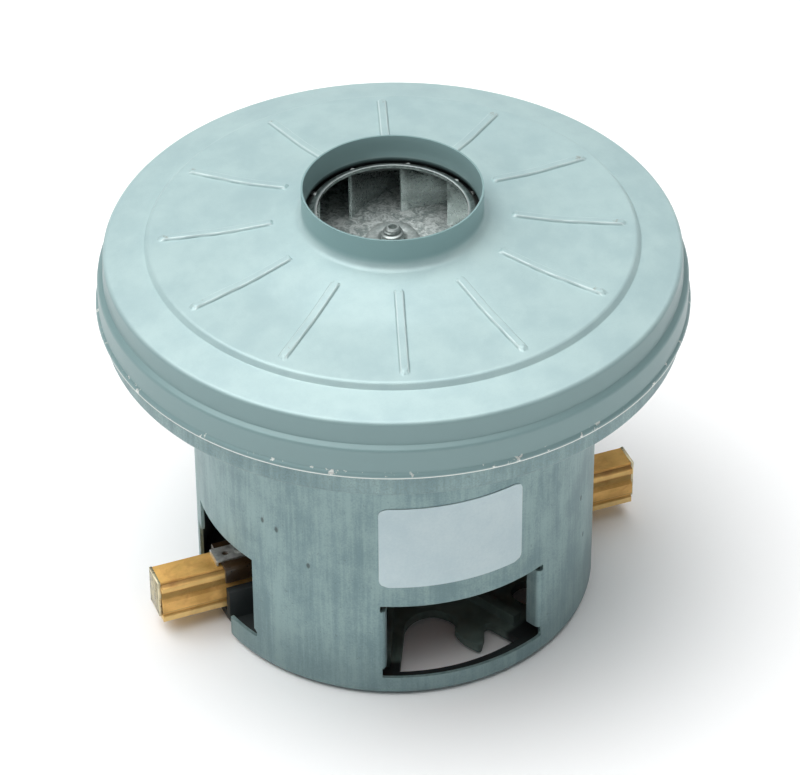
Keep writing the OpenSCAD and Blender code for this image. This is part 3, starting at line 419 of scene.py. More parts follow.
@dataclass(frozen=True)
class GalvanisedSteel(Finish):
    """The drawn can: zinc with upright draw marks, speckle and a few nicks, with painted shade towards the
    foot and under the cup.
    """

    nicks: tuple[Point, ...] = ((-135.9, 35.7), (-150.9, 43.8), (-146.0, 42.9), (-44.6, 35.3), (-42.0, 22.9))
    radius: float = 46.4

    def paint(self, sheet: Sheet, point: Wire) -> dict[str, object]:
        """Writes the zinc.

        Args:
            sheet: The material's tree.
            point: The place on the piece.

        Returns:
            The shader's values and wires by socket.
        """
        x, y, z = sheet.axes(point)
        clouds = sheet.noise(point, 11, 4, 0.6)
        marks = sheet.noise(sheet.stretched(point, (1, 1, 0.06)), 0.9, 4, 0.65)
        wide = sheet.noise(sheet.stretched(point, (1, 1, 0.12)), 4.5, 3, 0.5)
        speckle = sheet.noise(point, 0.42, 2, 0.6)
        dots = sheet.noise(point, 0.8, 2, 0.5).above(0.66, 0.74)
        dents = self._dents(x, y, z)
        relief = sheet.bump(marks * 0.5 + speckle * 0.35 + wide * 0.15, 0.03)
        colour = self.toned(
            sheet,
            (clouds * 0.3 + marks * 0.25 + wide * 0.25 + speckle * 0.2).above(0.4, 0.6),
            (dots * 0.3, "4c5757"),
            # painted shade: darker towards the foot
            (z.span(22, 4) * 0.35, "66797c"),
            # painted shadow under the cup, broken up by the speckle
            (z.span(66, 73.5) * speckle.above(0.42, 0.6) * 0.3, "53605f"),
            (dents * 0.7, "3d4746"),
        )
        return {
            "Base Color": colour,
            "Roughness": self.low_gloss + marks * 0.12 + speckle * 0.12,
            "Normal": sheet.bump(1 - dents, 0.15, relief),
        }

    def _dents(self, x: Wire, y: Wire, z: Wire) -> Wire:
        """Marks the nicks.

        Args:
            x: The first coordinate.
            y: The second coordinate.
            z: The height.

        Returns:
            1 inside a nick and 0 outside.
        """
        spots = []
        for turn, height in self.nicks:
            dx = x - self.radius * MM * math.cos(math.radians(turn))
            dy = y - self.radius * MM * math.sin(math.radians(turn))
            dz = (z - height * MM) * 0.6
            spots.append(length(dx, dy, dz).span(0.6, 0.25))
        found = spots[0]
        for spot in spots[1:]:
            found = found.math("MAXIMUM", spot)
        return found


@dataclass(frozen=True)
class TarnishedBrass(Finish):
    """Rolled brass with orange and olive tarnish drawn out along the holder, with painted light: a lighter
    top face, a highlight on the ridge band and shade lines in two creases.

    Attributes:
        lit_top_z: The heights between which the top face's painted light begins.
        flange_z: The heights between which the pale lower flange begins.
        bands: A band's height, half width and soft edge, its share and its colour: olive tarnish in the
            groove, painted shade in two creases and a painted highlight on the ridge.
    """

    lit_top_z: Point = (14.95, 15.2)
    flange_z: Point = (5.9, 5.5)
    bands: tuple[tuple[float, float, float, float, str], ...] = (
        (11.45, 0.6, 0.5, 0.6, "6d5a26"),
        # painted shade in the narrow groove
        (6.81, 0.2, 0.2, 0.6, "5f4a1c"),
        # painted shade in the crease under the top face
        (14.55, 0.1, 0.2, 0.6, "4f3a16"),
        # painted highlight on the ridge band
        (13.7, 0.4, 0.3, 0.5, "f2cf86"),
    )

    def paint(self, sheet: Sheet, point: Wire) -> dict[str, object]:
        """Writes the brass.

        Args:
            sheet: The material's tree.
            point: The place on the piece.

        Returns:
            The shader's values and wires by socket.
        """
        clouds = sheet.noise(sheet.stretched(point, (0.6, 1, 1)), 4.5, 3, 0.55)
        specks = sheet.noise(point, 0.45, 3, 0.7)
        lines = sheet.noise(sheet.stretched(point, (0.08, 1, 1)), 0.35, 2, 0.5)
        stain = sheet.noise(point, 4.5, 3, 0.6, 0.6).above(0.5, 0.72)
        z = sheet.axes(point)[2]
        colour = self.toned(
            sheet,
            clouds.above(0.3, 0.7),
            (stain * 0.4, "b0693a"),
            (specks.above(0.58, 0.75) * 0.3, "7d6826"),
            # painted light: the top face made lighter
            (z.span(*self.lit_top_z) * 0.25, "ffcd70"),
            *[(z.band(*band[:3]) * band[3], band[4]) for band in self.bands],
            (z.span(*self.flange_z) * 0.45, "f4dc9c"),
        )
        return {
            "Base Color": colour,
            "Roughness": self.low_gloss + specks * 0.2 + stain * 0.1,
            "Normal": sheet.bump(lines * 0.5 + specks * 0.5, 0.012),
        }


@dataclass(frozen=True)
class EndCapSteel(Finish):
    """Passivated steel of the end caps, with a painted highlight at the folded edges and painted shade in
    the gaps behind them.
    """

    middle_z: float = 10.5
    half_w: float = 3.25
    half_h: float = 4.9

    def paint(self, sheet: Sheet, point: Wire) -> dict[str, object]:
        """Writes the steel.

        Args:
            sheet: The material's tree.
            point: The place on the piece.

        Returns:
            The shader's values and wires by socket.
        """
        _, y, z = sheet.axes(point)
        tone = sheet.clouds(point, self.blot)
        side = abs(y) - self.half_w * MM
        rise = abs(z - self.middle_z * MM) - self.half_h * MM
        inset = side.math("MAXIMUM", rise)
        # painted shade in the gaps and corners behind the folded edges
        gap = inset.band(-0.75, 0.12, 0.12) * side.span(-2.2, -1.6)
        corner = side.span(-1.1, -0.8) * rise.span(-1.6, -1.2)
        dark = (gap.math("MAXIMUM", corner) * 0.85, "1c1a12")
        # painted highlight at the folded edges, over the painted shade
        colour = self.toned(sheet, tone, dark, (inset.span(-0.5, -0.3) * 0.6, "f1e6c4"))
        return {"Base Color": colour, "Roughness": self.low_gloss + tone * 0.12}


@dataclass(frozen=True)
class ShadeDarkenedMoulding(Finish):
    """Moulded bracket, blackened by painted shade near the holders and round its rim."""

    def paint(self, sheet: Sheet, point: Wire) -> dict[str, object]:
        """Writes the moulding.

        Args:
            sheet: The material's tree.
            point: The place on the piece.

        Returns:
            The shader's values and wires by socket.
        """
        x, y, _ = sheet.axes(point)
        tone = sheet.clouds(point, self.blot)
        grain = sheet.noise(point, 0.6, 2, 0.5)
        # painted shade near the brush holders and round the rim
        brush_shade = abs(x).span(26, 33) * abs(y).span(16, 12)
        painted_shade = brush_shade.math("MAXIMUM", length(x, y).span(37.2, 39))
        return {
            "Base Color": self.toned(sheet, tone, (painted_shade * 0.94, "10161a")),
            "Roughness": self.low_gloss + tone * 0.1 + grain * 0.06,
            "Normal": sheet.bump(grain, 0.02),
        }


@dataclass(frozen=True)
class FanSheet(Finish):
    """Bare sheet of the fan, mottled by the rolling and by wear, with painted shade on the ring and under it
    and a painted highlight at the eye's rim.
    """

    ring_z: Point = (102.3, 102.7)
    neck_shade_z: Point = (97.5, 98.5)
    rim_z: Point = (103.52, 103.66)

    def paint(self, sheet: Sheet, point: Wire) -> dict[str, object]:
        """Writes the mottling.

        Args:
            sheet: The material's tree.
            point: The place on the piece.

        Returns:
            The shader's values and wires by socket.
        """
        z = sheet.axes(point)[2]
        patches = sheet.noise(point, 2.4, 5, 0.72, 1.2)
        fine = sheet.noise(point, 0.5, 3, 0.7)
        ring = z.span(*self.ring_z)
        colour = self.toned(
            sheet,
            (patches * 0.68 + fine * 0.32).above(0.4, 0.6),
            # the ring: more metallic, and darkened with painted shade
            (ring * 0.45, "5b6462"),
            # painted shade under the ring
            ((z.span(*self.neck_shade_z) - ring) * 0.85, "2a302f"),
            # painted highlight at the eye's rim
            (z.span(*self.rim_z) * 0.8, "e8eeec"),
        )
        return {
            "Base Color": colour,
            "Metallic": self.metallic + ring * 0.45,
            "Roughness": self.low_gloss + fine * 0.18 + patches * 0.12 - ring * 0.12,
            "Normal": sheet.bump(fine, 0.012),
        }


@dataclass(frozen=True)
class WoundWire(Finish):
    """Varnished wire: turns of a coil shown as fine rows, with painted shade in the grooves between them."""

    pitch: float = 0.62
    middle_z: float = 48.0

    def paint(self, sheet: Sheet, point: Wire) -> dict[str, object]:
        """Writes the rows.

        Args:
            sheet: The material's tree.
            point: The place on the piece.

        Returns:
            The shader's values and wires by socket.
        """
        x, y, z = sheet.axes(point)
        step = self.pitch * MM
        waves = sheet.noise(point, 6, 2, 0.5) * (1.2 * MM)
        rows = (abs(x) + abs(z - self.middle_z * MM) + waves) / step
        layers = (abs(y) + waves) / step
        height = abs(rows.math("FRACT") - 0.5) + abs(layers.math("FRACT") - 0.5) * 0.6
        tone = sheet.clouds(point, 2.5)
        return {
            # painted shade in the grooves between the turns
            "Base Color": self.toned(sheet, tone, (height.above(0.55, 0.8) * 0.7, "2a120a")),
            "Roughness": self.low_gloss + tone * 0.1,
            "Normal": sheet.bump(1 - height, 0.25),
        }


@dataclass(frozen=True)
class StackedSheets(Finish):
    """Stamped laminations, seen as fine level lines."""

    pitch: float = 0.5

    def paint(self, sheet: Sheet, point: Wire) -> dict[str, object]:
        """Writes the lines.

        Args:
            sheet: The material's tree.
            point: The place on the piece.

        Returns:
            The shader's values and wires by socket.
        """
        z = sheet.axes(point)[2]
        line = abs((z / (self.pitch * MM)).math("FRACT") - 0.5).above(0.38, 0.5)
        tone = sheet.clouds(point, 3, 4, 0.7)
        return {
            "Base Color": self.toned(sheet, tone, (line * 0.6, "1e2122")),
            "Roughness": self.low_gloss + tone * 0.15,
            "Normal": sheet.bump(1 - line, 0.05),
        }


COVER = CoatedSteel("satin cyan coating", "b0c8c8", "a4bdbf", metallic=0.12, low_gloss=0.32)
ZINC = GalvanisedSteel("drawn zinc steel", "92aaaa", "748d90", metallic=0.5, low_gloss=0.36)
CUT_EDGE = Finish("cut steel edge", "93abab", "768f8f", 0.3, 0.3, 0.45, 1.5)
LABEL = Finish("bare label film", "cee0e4", "c1d6dc", 0, 0.28, 0.36, 9, relief=0.003, coat=0.3)
BRASS = TarnishedBrass("tarnished brass", "f2c072", "c99a52", metallic=0.5, low_gloss=0.32)
CAP = EndCapSteel("yellow passivated steel", "c9bd97", "8f835f", metallic=0.8, low_gloss=0.25, blot=2)
TAG = Finish("tinned tag", "dcdfda", "aeb1ac", 0.7, 0.22, 0.45, 1.5)
SLEEVE = Finish("dark varnished sleeve", "402e18", "20160c", 0, 0.24, 0.34, 5, coat=0.35)
MOULDING = ShadeDarkenedMoulding("black moulding", "72857e", "5a6a64", low_gloss=0.5, blot=8)
DARK_DISC = Finish("dark diffuser moulding", "26292a", "191c1d", 0, 0.45, 0.6, 8, relief=0.02)
FAN = FanSheet("mottled fan sheet", "dce4e2", "8c9997", metallic=0.45, low_gloss=0.3)
BLADE = Finish("plain fan blade", "d2d9d7", "b2bbb9", 0.9, 0.22, 0.34, 7)
STAKED = Finish("staked tab", "e2e6e3", "c4cac7", 0.6, 0.25, 0.4, 1)
BRIGHT = Finish("bright turned steel", "d2d5d3", "a4a8a7", 0.95, 0.18, 0.3, 1.5)
NUT = Finish("plated nut steel", "b7bfbd", "98a2a0", 0.7, 0.34, 0.48, 1.2)
PLATE = Finish("plain plate steel", "8e9897", "6f7a79", 0.7, 0.36, 0.5, 7)
LAMINATION = StackedSheets("stacked laminations", "5d6264", "3c4042", metallic=0.5, low_gloss=0.45)
WIRE = WoundWire("varnished wire", "a4522a", "74341a", metallic=0.35, low_gloss=0.25, coat=0.5)
COPPER = Finish("turned copper", "c4744a", "99512f", 0.9, 0.25, 0.4, 2)
HUB = Finish("brown hub moulding", "33261f", "221813")
LINER = Finish("red slot board", "b53a2d", "8f2a20", 0, 0.6, 0.75, 3)
BOBBIN = Finish("off-white nylon", "d8d4c4", "c5c0ae", 0, 0.45, 0.55)
LEAD = Finish("black lead cover", "232527", "17191b", 0, 0.5, 0.62, 4)
CARBON = Finish("graphite brush", "313134", "222225", 0, 0.4, 0.6, 1)
CAGE = Finish("cage moulding", "8c7350", "75603f", 0, 0.45, 0.6)

KEPT = {
    DARK_DISC: ("diffuser",),
    PLATE: ("fan_end_bracket", "bearing_retainer", "bracket_rivets", "fan_end_shields", "brush_end_shields"),
    BRIGHT: (
        "retainer_screws", "preload_washer", "brush_bracket_screws", "fan_sleeve", "fan_end_balls",
        "fan_end_race_outer", "fan_end_race_inner", "brush_end_balls", "brush_end_race_outer",
        "brush_end_race_inner",
    ),
    LAMINATION: ("field_core", "armature_core"),
    BOBBIN: ("field_bobbins",),
    WIRE: ("field_coil_front", "field_coil_rear", "armature_winding"),
    LEAD: ("field_leads",),
    LINER: ("armature_end_discs",),
    HUB: ("commutator_hub",),
    COPPER: ("commutator_bars",),
    CAGE: ("fan_end_cage", "brush_end_cage"),
    CARBON: ("carbon_brush_left", "carbon_brush_right"),
}


def rounded(path: list[Point], steps: int = 6) -> list[Point]:
    """Rounds the inner corners of an open path.

    Args:
        path: Points (x, y) or (x, y, radius).
        steps: Pieces in each arc.

    Returns:
        The points of the rounded path.
    """
    done = []
    for i, spot in enumerate(path):
        radius = spot[2] if len(spot) > 2 and 0 < i < len(path) - 1 else 0
        here = Vector(spot[:2])
        if radius == 0:
            done.append(tuple(here))
            continue
        before = (Vector(path[i - 1][:2]) - here).normalized()
        after = (Vector(path[i + 1][:2]) - here).normalized()
        half = math.acos(max(-1, min(1, before.dot(after)))) / 2
        middle = here + (before + after).normalized() * radius / math.sin(half)
        start = here + before * radius / math.tan(half) - middle
        end = here + after * radius / math.tan(half) - middle
        turn = math.atan2(start.x * end.y - start.y * end.x, start.dot(end))
        for k in range(steps + 1):
            done.append(tuple(middle + Matrix.Rotation(turn * k / steps, 2) @ start))
    return done


def beside(path: list[Point], distance: float) -> list[Point]:
    """Moves an open path to its left.

    Args:
        path: The points.
        distance: How far.

    Returns:
        The moved points.
    """
    points = np.array(path, float)
    legs = np.diff(points, axis=0)
    legs /= np.linalg.norm(legs, axis=1)[:, None]
    sides = np.stack([-legs[:, 1], legs[:, 0]], axis=1)
    before = np.vstack([sides[:1], sides])
    after = np.vstack([sides, sides[-1:]])
    scale = 1 + (before * after).sum(1)
    return [tuple(p) for p in points + distance * (before + after) / scale[:, None]]


def off_middle(turn: float, middle: float) -> float:
    """Gives how far an angle is past a middle one, from -180 to 180 degrees."""
    return (turn - middle + 180) % 360 - 180


def shade(mesh: bpy.types.Mesh, angle: float) -> None:
    """Shades a mesh smooth except at edges sharper than an angle in degrees."""
    mesh.polygons.foreach_set("use_smooth", [True] * len(mesh.polygons))
    mesh.set_sharp_from_angle(angle=math.radians(angle))


def banded(rows: int, columns: int, closed: bool = True, start: int = 0) -> list[tuple[int, ...]]:
    """Lists the faces between rows of points that each go once round.

    Args:
        rows: How many rows.
        columns: How many points a row has.
        closed: Whether the last row meets the first.
        start: The number of the first point.

    Returns:
        The faces.
    """
    faces = []
    for i in range(rows if closed else rows - 1):
        low, high = start + i * columns, start + (i + 1) % rows * columns
        for k in range(columns):
            n = (k + 1) % columns
            faces.append((low + k, low + n, high + n, high + k))
    return faces


def linked(name: str, data: bpy.types.ID) -> bpy.types.Object:
    """Puts a new object in the scene.

    Args:
        name: The object's name.
        data: Its mesh, its camera or its light.

    Returns:
        The object.
    """
    item = bpy.data.objects.new(name, data)
    bpy.context.scene.collection.objects.link(item)
    return item


def made(name: str, points: np.ndarray, faces: list, angle: float) -> bpy.types.Object:
    """Makes an object from points in millimetres.

    Args:
        name: The object's name.
        points: The vertices, in an array of any shape whose last axis is x, y and z.
        faces: Lists of vertex numbers.
        angle: The sharp edge angle in degrees.

    Returns:
        The object, with faces that point outwards.
    """
    mesh = bpy.data.meshes.new(name)
    mesh.from_pydata([tuple(p) for p in np.reshape(points, (-1, 3)) * MM], [], faces)
    shell = bmesh.new()
    shell.from_mesh(mesh)
    bmesh.ops.remove_doubles(shell, verts=shell.verts, dist=WELD)
    bmesh.ops.recalc_face_normals(shell, faces=shell.faces)
    shell.to_mesh(mesh)
    shell.free()
    shade(mesh, angle)
    return linked(name, mesh)


def swept(section: list[Row], turns: np.ndarray) -> np.ndarray:
    """Turns a section about the shaft.

    Args:
        section: Each row's radius and height, as numbers or as arrays along the turns.
        turns: The angles in radians, the same for every row or an array for each.

    Returns:
        The points, rows by columns by three.
    """
    columns = np.shape(turns)[-1]
    r, z = (np.array([np.broadcast_to(row[i], columns) for row in section]) for i in (0, 1))
    return np.stack([r * np.cos(turns), r * np.sin(turns), z], axis=2)


def turned(
    name: str, section: list[Row], steps: int, angle: float, start: float = 0, closed: bool = True
) -> bpy.types.Object:
    """Turns a section once round the shaft, with even steps.

    Args:
        name: The object's name.
        section: Each row's radius and height, as swept takes them.
        steps: How many sides the turned form has.
        angle: The sharp edge angle in degrees.
        start: The first side's angle in degrees.
        closed: Whether the last row meets the first.

    Returns:
        The object.
    """
    turns = math.radians(start) + np.linspace(0, 2 * math.pi, steps, endpoint=False)
    return made(name, swept(section, turns), banded(len(section), steps, closed), angle)


@dataclass
class TwoSkins:
    """A sheet made of two grids of points, with a rim round every edge that is left open.

    Attributes:
        outer: The outer skin, rows by columns by three.
        inner: The inner skin, of the same size.
        kept: 1 where a cell is sheet, 0 where it is open and 2 where the sheet runs on elsewhere.
        closed: Whether the last column meets the first.
        joined: Whether the first column runs on from another sheet and has no rim.
    """

    outer: np.ndarray
    inner: np.ndarray
    kept: np.ndarray
    closed: bool
    joined: bool = False

    def faces(self, start: int = 0) -> tuple[list, list]:
        """Lists the faces.

        Args:
            start: How many points come before this sheet's own.

        Returns:
            The skins' faces and the rim's faces.
        """
        rows, columns = self.outer.shape[:2]
        size = rows * columns
        skin, rim = [], []
        for i, k in zip(*np.nonzero(self.kept == 1)):
            n = (k + 1) % columns
            ring = [start + i * columns + k, start + i * columns + n]
            ring += [start + (i + 1) * columns + n, start + (i + 1) * columns + k]
            skin.append(tuple(ring))
            skin.append(tuple(v + size for v in ring[::-1]))
            for side, (di, dk) in enumerate(((-1, 0), (0, 1), (1, 0), (0, -1))):
                if self._is_edge(i + di, k + dk):
                    a, b = ring[side], ring[(side + 1) % 4]
                    rim.append((b, a, a + size, b + size))
        return skin, rim

    def _is_edge(self, i: int, k: int) -> bool:
        """Tells whether the sheet ends at a cell beside it.

        Args:
            i: The cell's row.
            k: The cell's column.

        Returns:
            Whether a rim belongs there.
        """
        if self.closed:
            k %= self.kept.shape[1]
        if self.joined and k < 0:
            return False
        inside = 0 <= i < self.kept.shape[0] and 0 <= k < self.kept.shape[1]
        return not inside or self.kept[i, k] == 0

    def points(self) -> np.ndarray:
        """Lists the points of both skins."""
        return np.vstack([self.outer.reshape(-1, 3), self.inner.reshape(-1, 3)])


def sheeted(name: str, sheets: list[TwoSkins], *finishes: Finish) -> bpy.types.Object:
    """Makes one object of sheets.

    Args:
        name: The object's name.
        sheets: The sheets.
        finishes: The sheets' finish, and last the finish of their rims where it is another one.

    Returns:
        The object.
    """
    points, skins, rims = [], [], []
    for sheet in sheets:
        skin, rim = sheet.faces(sum(len(p) for p in points))
        points.append(sheet.points())
        skins += skin
        rims += rim
    item = made(name, np.vstack(points), skins + rims, 40)
    for finish in finishes:
        item.data.materials.append(finish.material())
    for face in item.data.polygons[len(skins):]:
        face.material_index = len(finishes) - 1
    return item


def applied(item: bpy.types.Object, angle: float) -> bpy.types.Object:
    """Turns an object's modifiers into a plain mesh.

    Args:
        item: The object.
        angle: The sharp edge angle in degrees.

    Returns:
        The same object.
    """
    graph = bpy.context.evaluated_depsgraph_get()
    graph.update()
    mesh = bpy.data.meshes.new_from_object(item.evaluated_get(graph))
    item.modifiers.clear()
    item.data = mesh
    shade(mesh, angle)
    return item


def eased(item: bpy.types.Object, width: float, angle: float, segments: int = 2) -> bpy.types.Object:
    """Eases a piece's sharp edges with a small bevel.

    Args:
        item: The piece.
        width: The bevel's width in millimetres.
        angle: The angle in degrees past which an edge is eased.
        segments: The bevel's steps.

    Returns:
        The same piece, with its bevel still to be applied.
    """
    bevel = item.modifiers.new("eased", "BEVEL")
    bevel.width = width * MM
    bevel.segments = segments
    bevel.limit_method = "ANGLE"
    bevel.angle_limit = math.radians(angle)
    bevel.use_clamp_overlap = True
    return item


def dressed(item: bpy.types.Object, finish: Finish, body: Body, slot: str, *nodes: str) -> None:
    """Gives a piece its finish and its body, and hides the CAD nodes that it replaces.

    Args:
        item: The piece.
        finish: Its finish.
        body: The body that it rides on.
        slot: Not used.
        nodes: The CAD nodes that it replaces.
    """
    if not item.data.materials:
        item.data.materials.append(finish.material())
    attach(item, body.value)
    if nodes:
        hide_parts(*nodes)
    LOG.info("%s: %d faces on %s", item.name, len(item.data.polygons), body.value)


def refined(node: str, name: str, ease: float, angle: float = 30) -> bpy.types.Object:
    """Copies a CAD node, joins its flat faces and eases its edges.

    Args:
        node: The CAD node.
        name: The new object's name.
        ease: The bevel's width in millimetres.
        angle: The sharp edge angle in degrees.

    Returns:
        The new object.
    """
    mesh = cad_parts[node].data.copy()
    mesh.name = name
    mesh.materials.clear()
    for attribute in {"custom_normal", "sharp_edge", "sharp_face"} & set(mesh.attributes.keys()):
        mesh.attributes.remove(mesh.attributes[attribute])
    shell = bmesh.new()
    shell.from_mesh(mesh)
    bmesh.ops.remove_doubles(shell, verts=shell.verts, dist=WELD)
    flat = math.radians(0.5)
    bmesh.ops.dissolve_limit(shell, angle_limit=flat, verts=shell.verts, edges=shell.edges)
    shell.to_mesh(mesh)
    shell.free()
    return applied(eased(linked(name, mesh), ease, angle), angle)


class Growth:
    """A Geometry Nodes tree with named inputs that is run once on a piece."""

    def __init__(self, title: str, inputs: dict[str, str]) -> None:
        """Makes the tree.

        Args:
            title: The tree's name.
            inputs: Kinds of socket by the input's name.
        """
        self.group = bpy.data.node_groups.new(title, "GeometryNodeTree")
        self.sheet = Sheet(self.group)
        self.group.interface.new_socket(name="Geometry", in_out="OUTPUT", socket_type="NodeSocketGeometry")
        every = {"Geometry": "NodeSocketGeometry", **inputs, "Finish": "NodeSocketMaterial"}
        for name, kind in every.items():
            self.group.interface.new_socket(name=name, in_out="INPUT", socket_type=kind)
        self.entry = self.sheet.node("NodeGroupInput")

    def take(self, name: str) -> Wire:
        """Gives one of the tree's inputs."""
        return self.entry.out(name)

    def end(self, geometry: Wire) -> None:
        """Closes the tree with plain geometry and its material.

        Args:
            geometry: What the tree has made.
        """
        plain = self.sheet.node("GeometryNodeRealizeInstances", None, {0: geometry})
        inputs = {"Geometry": plain, "Material": self.take("Finish")}
        painted = self.sheet.node("GeometryNodeSetMaterial", None, inputs)
        self.sheet.node("NodeGroupOutput", None, {0: painted})

    def run(self, item: bpy.types.Object, finish: Finish, angle: float, **values: float) -> None:
        """Runs the tree on a piece and keeps the result.

        Args:
            item: The piece whose mesh goes in.
            finish: The finish of the result.
            angle: The sharp edge angle in degrees.
            values: The tree's inputs, with _ for a space.
        """
        modifier = item.modifiers.new(self.group.name, "NODES")
        modifier.node_group = self.group
        places = {s.name: s.identifier for s in self.group.interface.items_tree if s.in_out == "INPUT"}
        for name, value in values.items():
            modifier[places[name.replace("_", " ").capitalize()]] = value
        modifier[places["Finish"]] = finish.material()
        applied(item, angle)


class RoundCopies(Growth):
    """Copies a piece evenly round the shaft."""

    def __init__(self) -> None:
        """Writes the tree."""
        super().__init__("copies round the shaft", {"Count": "NodeSocketInt", "Turn": "NodeSocketFloat"})
        sheet = self.sheet
        points = sheet.node("GeometryNodePoints", None, {"Count": self.take("Count")})
        index = sheet.node("GeometryNodeInputIndex")
        angle = index / self.take("Count") * (2 * math.pi) + self.take("Turn")
        euler = sheet.node("ShaderNodeCombineXYZ", None, {2: angle})
        turn = sheet.node("FunctionNodeEulerToRotation", None, {0: euler})
        inputs = {"Points": points, "Instance": self.take("Geometry"), "Rotation": turn}
        self.end(sheet.node("GeometryNodeInstanceOnPoints", None, inputs))


class PressedRibs(Growth):
    """Presses straight round-ended ribs, spread evenly, into a sheet round the shaft."""

    def __init__(self) -> None:
        """Writes the tree."""
        sizes = ("Turn", "Inner radius", "Outer radius", "Width", "Height")
        super().__init__("pressed ribs", {"Count": "NodeSocketInt", **{s: "NodeSocketFloat" for s in sizes}})
        sheet = self.sheet
        x, y, _ = sheet.axes(sheet.node("GeometryNodeInputPosition"))
        step = sheet.math("DIVIDE", 2 * math.pi, self.take("Count"))
        radius = length(x, y)
        turn = (y.math("ARCTAN2", x) - self.take("Turn")) / step + 0.5
        off = (turn.math("FRACT") - 0.5) * step
        across = radius * off.math("SINE")
        along = radius * off.math("COSINE")
        half = self.take("Width") * 0.5
        inner = self.take("Inner radius") + half
        outer = self.take("Outer radius") - half
        beyond = along - along.math("MAXIMUM", inner).math("MINIMUM", outer)
        away = length(across, beyond) / half
        settings = {"interpolation_type": "SMOOTHERSTEP", "clamp": True}
        lift = sheet.node("ShaderNodeMapRange", settings, {0: away, 1: 0.68, 2: 1.18, 3: 1.0, 4: 0.0})
        shift = sheet.node("ShaderNodeCombineXYZ", None, {2: lift * self.take("Height")})
        inputs = {"Geometry": self.take("Geometry"), "Offset": shift}
        self.end(sheet.node("GeometryNodeSetPosition", None, inputs))


@dataclass
class FanCover:
    """The pressed cover with its collar, ribs, ridge, rim and lip."""

    sheet_t: float = 0.8
    collar_r: float = 20.3
    collar_top: float = 109.6
    collar_fillet: float = 2.0
    mouth_t: float = 0.4
    plate_in_z: float = 102.2
    ridge_r: float = 54.5
    ridge_z: float = 97.3
    foot_r: float = 55.4
    foot_z: float = 95.8
    rim_r: float = 64.8
    rim_z: float = 94.3
    ledge_z: float = 87.9
    skirt_r: float = 66.35
    lip_r: float = 66.95
    lip_z: float = 81.0
    rib_count: int = 12
    rib_turn: float = 11.6
    rib_in_r: float = 26.7
    rib_out_r: float = 51.9
    rib_w: float = 2.0
    rib_h: float = 0.6
    rib_span: float = 2.8
    rib_mesh: float = 0.6

    def section(self) -> list[Point]:
        """Gives the sheet's outer line from the collar's mouth to the lip."""
        middle = (self.collar_r + self.ridge_r) / 2
        return rounded([
            (self.collar_r, self.collar_top),
            (self.collar_r, self.plate_in_z, self.collar_fillet),
            (middle, (self.plate_in_z + self.ridge_z) / 2 - 0.8, 60),
            (self.ridge_r, self.ridge_z, 1.1),
            (self.foot_r, self.foot_z, 0.4),
            (self.rim_r, self.rim_z, 1.2),
            (self.rim_r + 0.25, self.ledge_z + 0.9, 0.3),
            (self.skirt_r, self.ledge_z, 1.1),
            (self.skirt_r, self.lip_z + 1.2, 0.3),
            (self.lip_r, self.lip_z + 0.6, 1.0),
            (self.lip_r, self.lip_z),
        ], 7)

    def turns(self) -> np.ndarray:
        """Spaces the mesh's lines, close together at the ribs.

        Returns:
            Their angles in radians.
        """
        period = 360 / self.rib_count
        close = np.arange(-self.rib_span, self.rib_span + 0.01, 0.2)
        wide = np.linspace(self.rib_span, period - self.rib_span, 14)[1:-1]
        one = np.concatenate([close, wide])
        every = np.concatenate([one + self.rib_turn + period * k for k in range(self.rib_count)])
        return np.radians(np.sort(every % 360))

    def build(self) -> None:
        """Builds the cover."""
        outer = self.section()
        inner = beside(outer, -self.sheet_t)
        inner[0] = (self.collar_r - self.mouth_t, self.collar_top)
        inner.insert(1, (self.collar_r - self.sheet_t, self.collar_top - 1.4))
        rows = self._dense(outer) + inner[::-1]
        turns = self.turns()
        cover = made("pressed_cover", swept(rows, turns), banded(len(rows), len(turns)), 40)
        PressedRibs().run(
            cover, COVER, 40, count=self.rib_count, turn=math.radians(self.rib_turn),
            inner_radius=self.rib_in_r * MM, outer_radius=self.rib_out_r * MM,
            width=self.rib_w * MM, height=self.rib_h * MM,
        )
        dressed(cover, COVER, Body.HOUSING, "cover_steel", "fan_cover")

    def _dense(self, line: list[Point]) -> list[Point]:
        """Splits the steps of a line that the ribs cross.

        Args:
            line: The points.

        Returns:
            The points with more of them between.
        """
        margin = 1.5
        dense = []
        for a, b in zip(line, line[1:]):
            within = self.rib_in_r - margin < max(a[0], b[0]) and min(a[0], b[0]) < self.rib_out_r + margin
            fine = within and a[1] > self.ridge_z - 1
            parts = math.ceil(math.dist(a, b) / self.rib_mesh) if fine else 1
            dense += [tuple(np.array(a) + (np.array(b) - np.array(a)) * k / parts) for k in range(parts)]
        return dense + line[-1:]


@dataclass
class SlitEnd:
    """The round end of a relief slit in the can's wall."""

    turn: float
    side: int
    z: float
    r: float


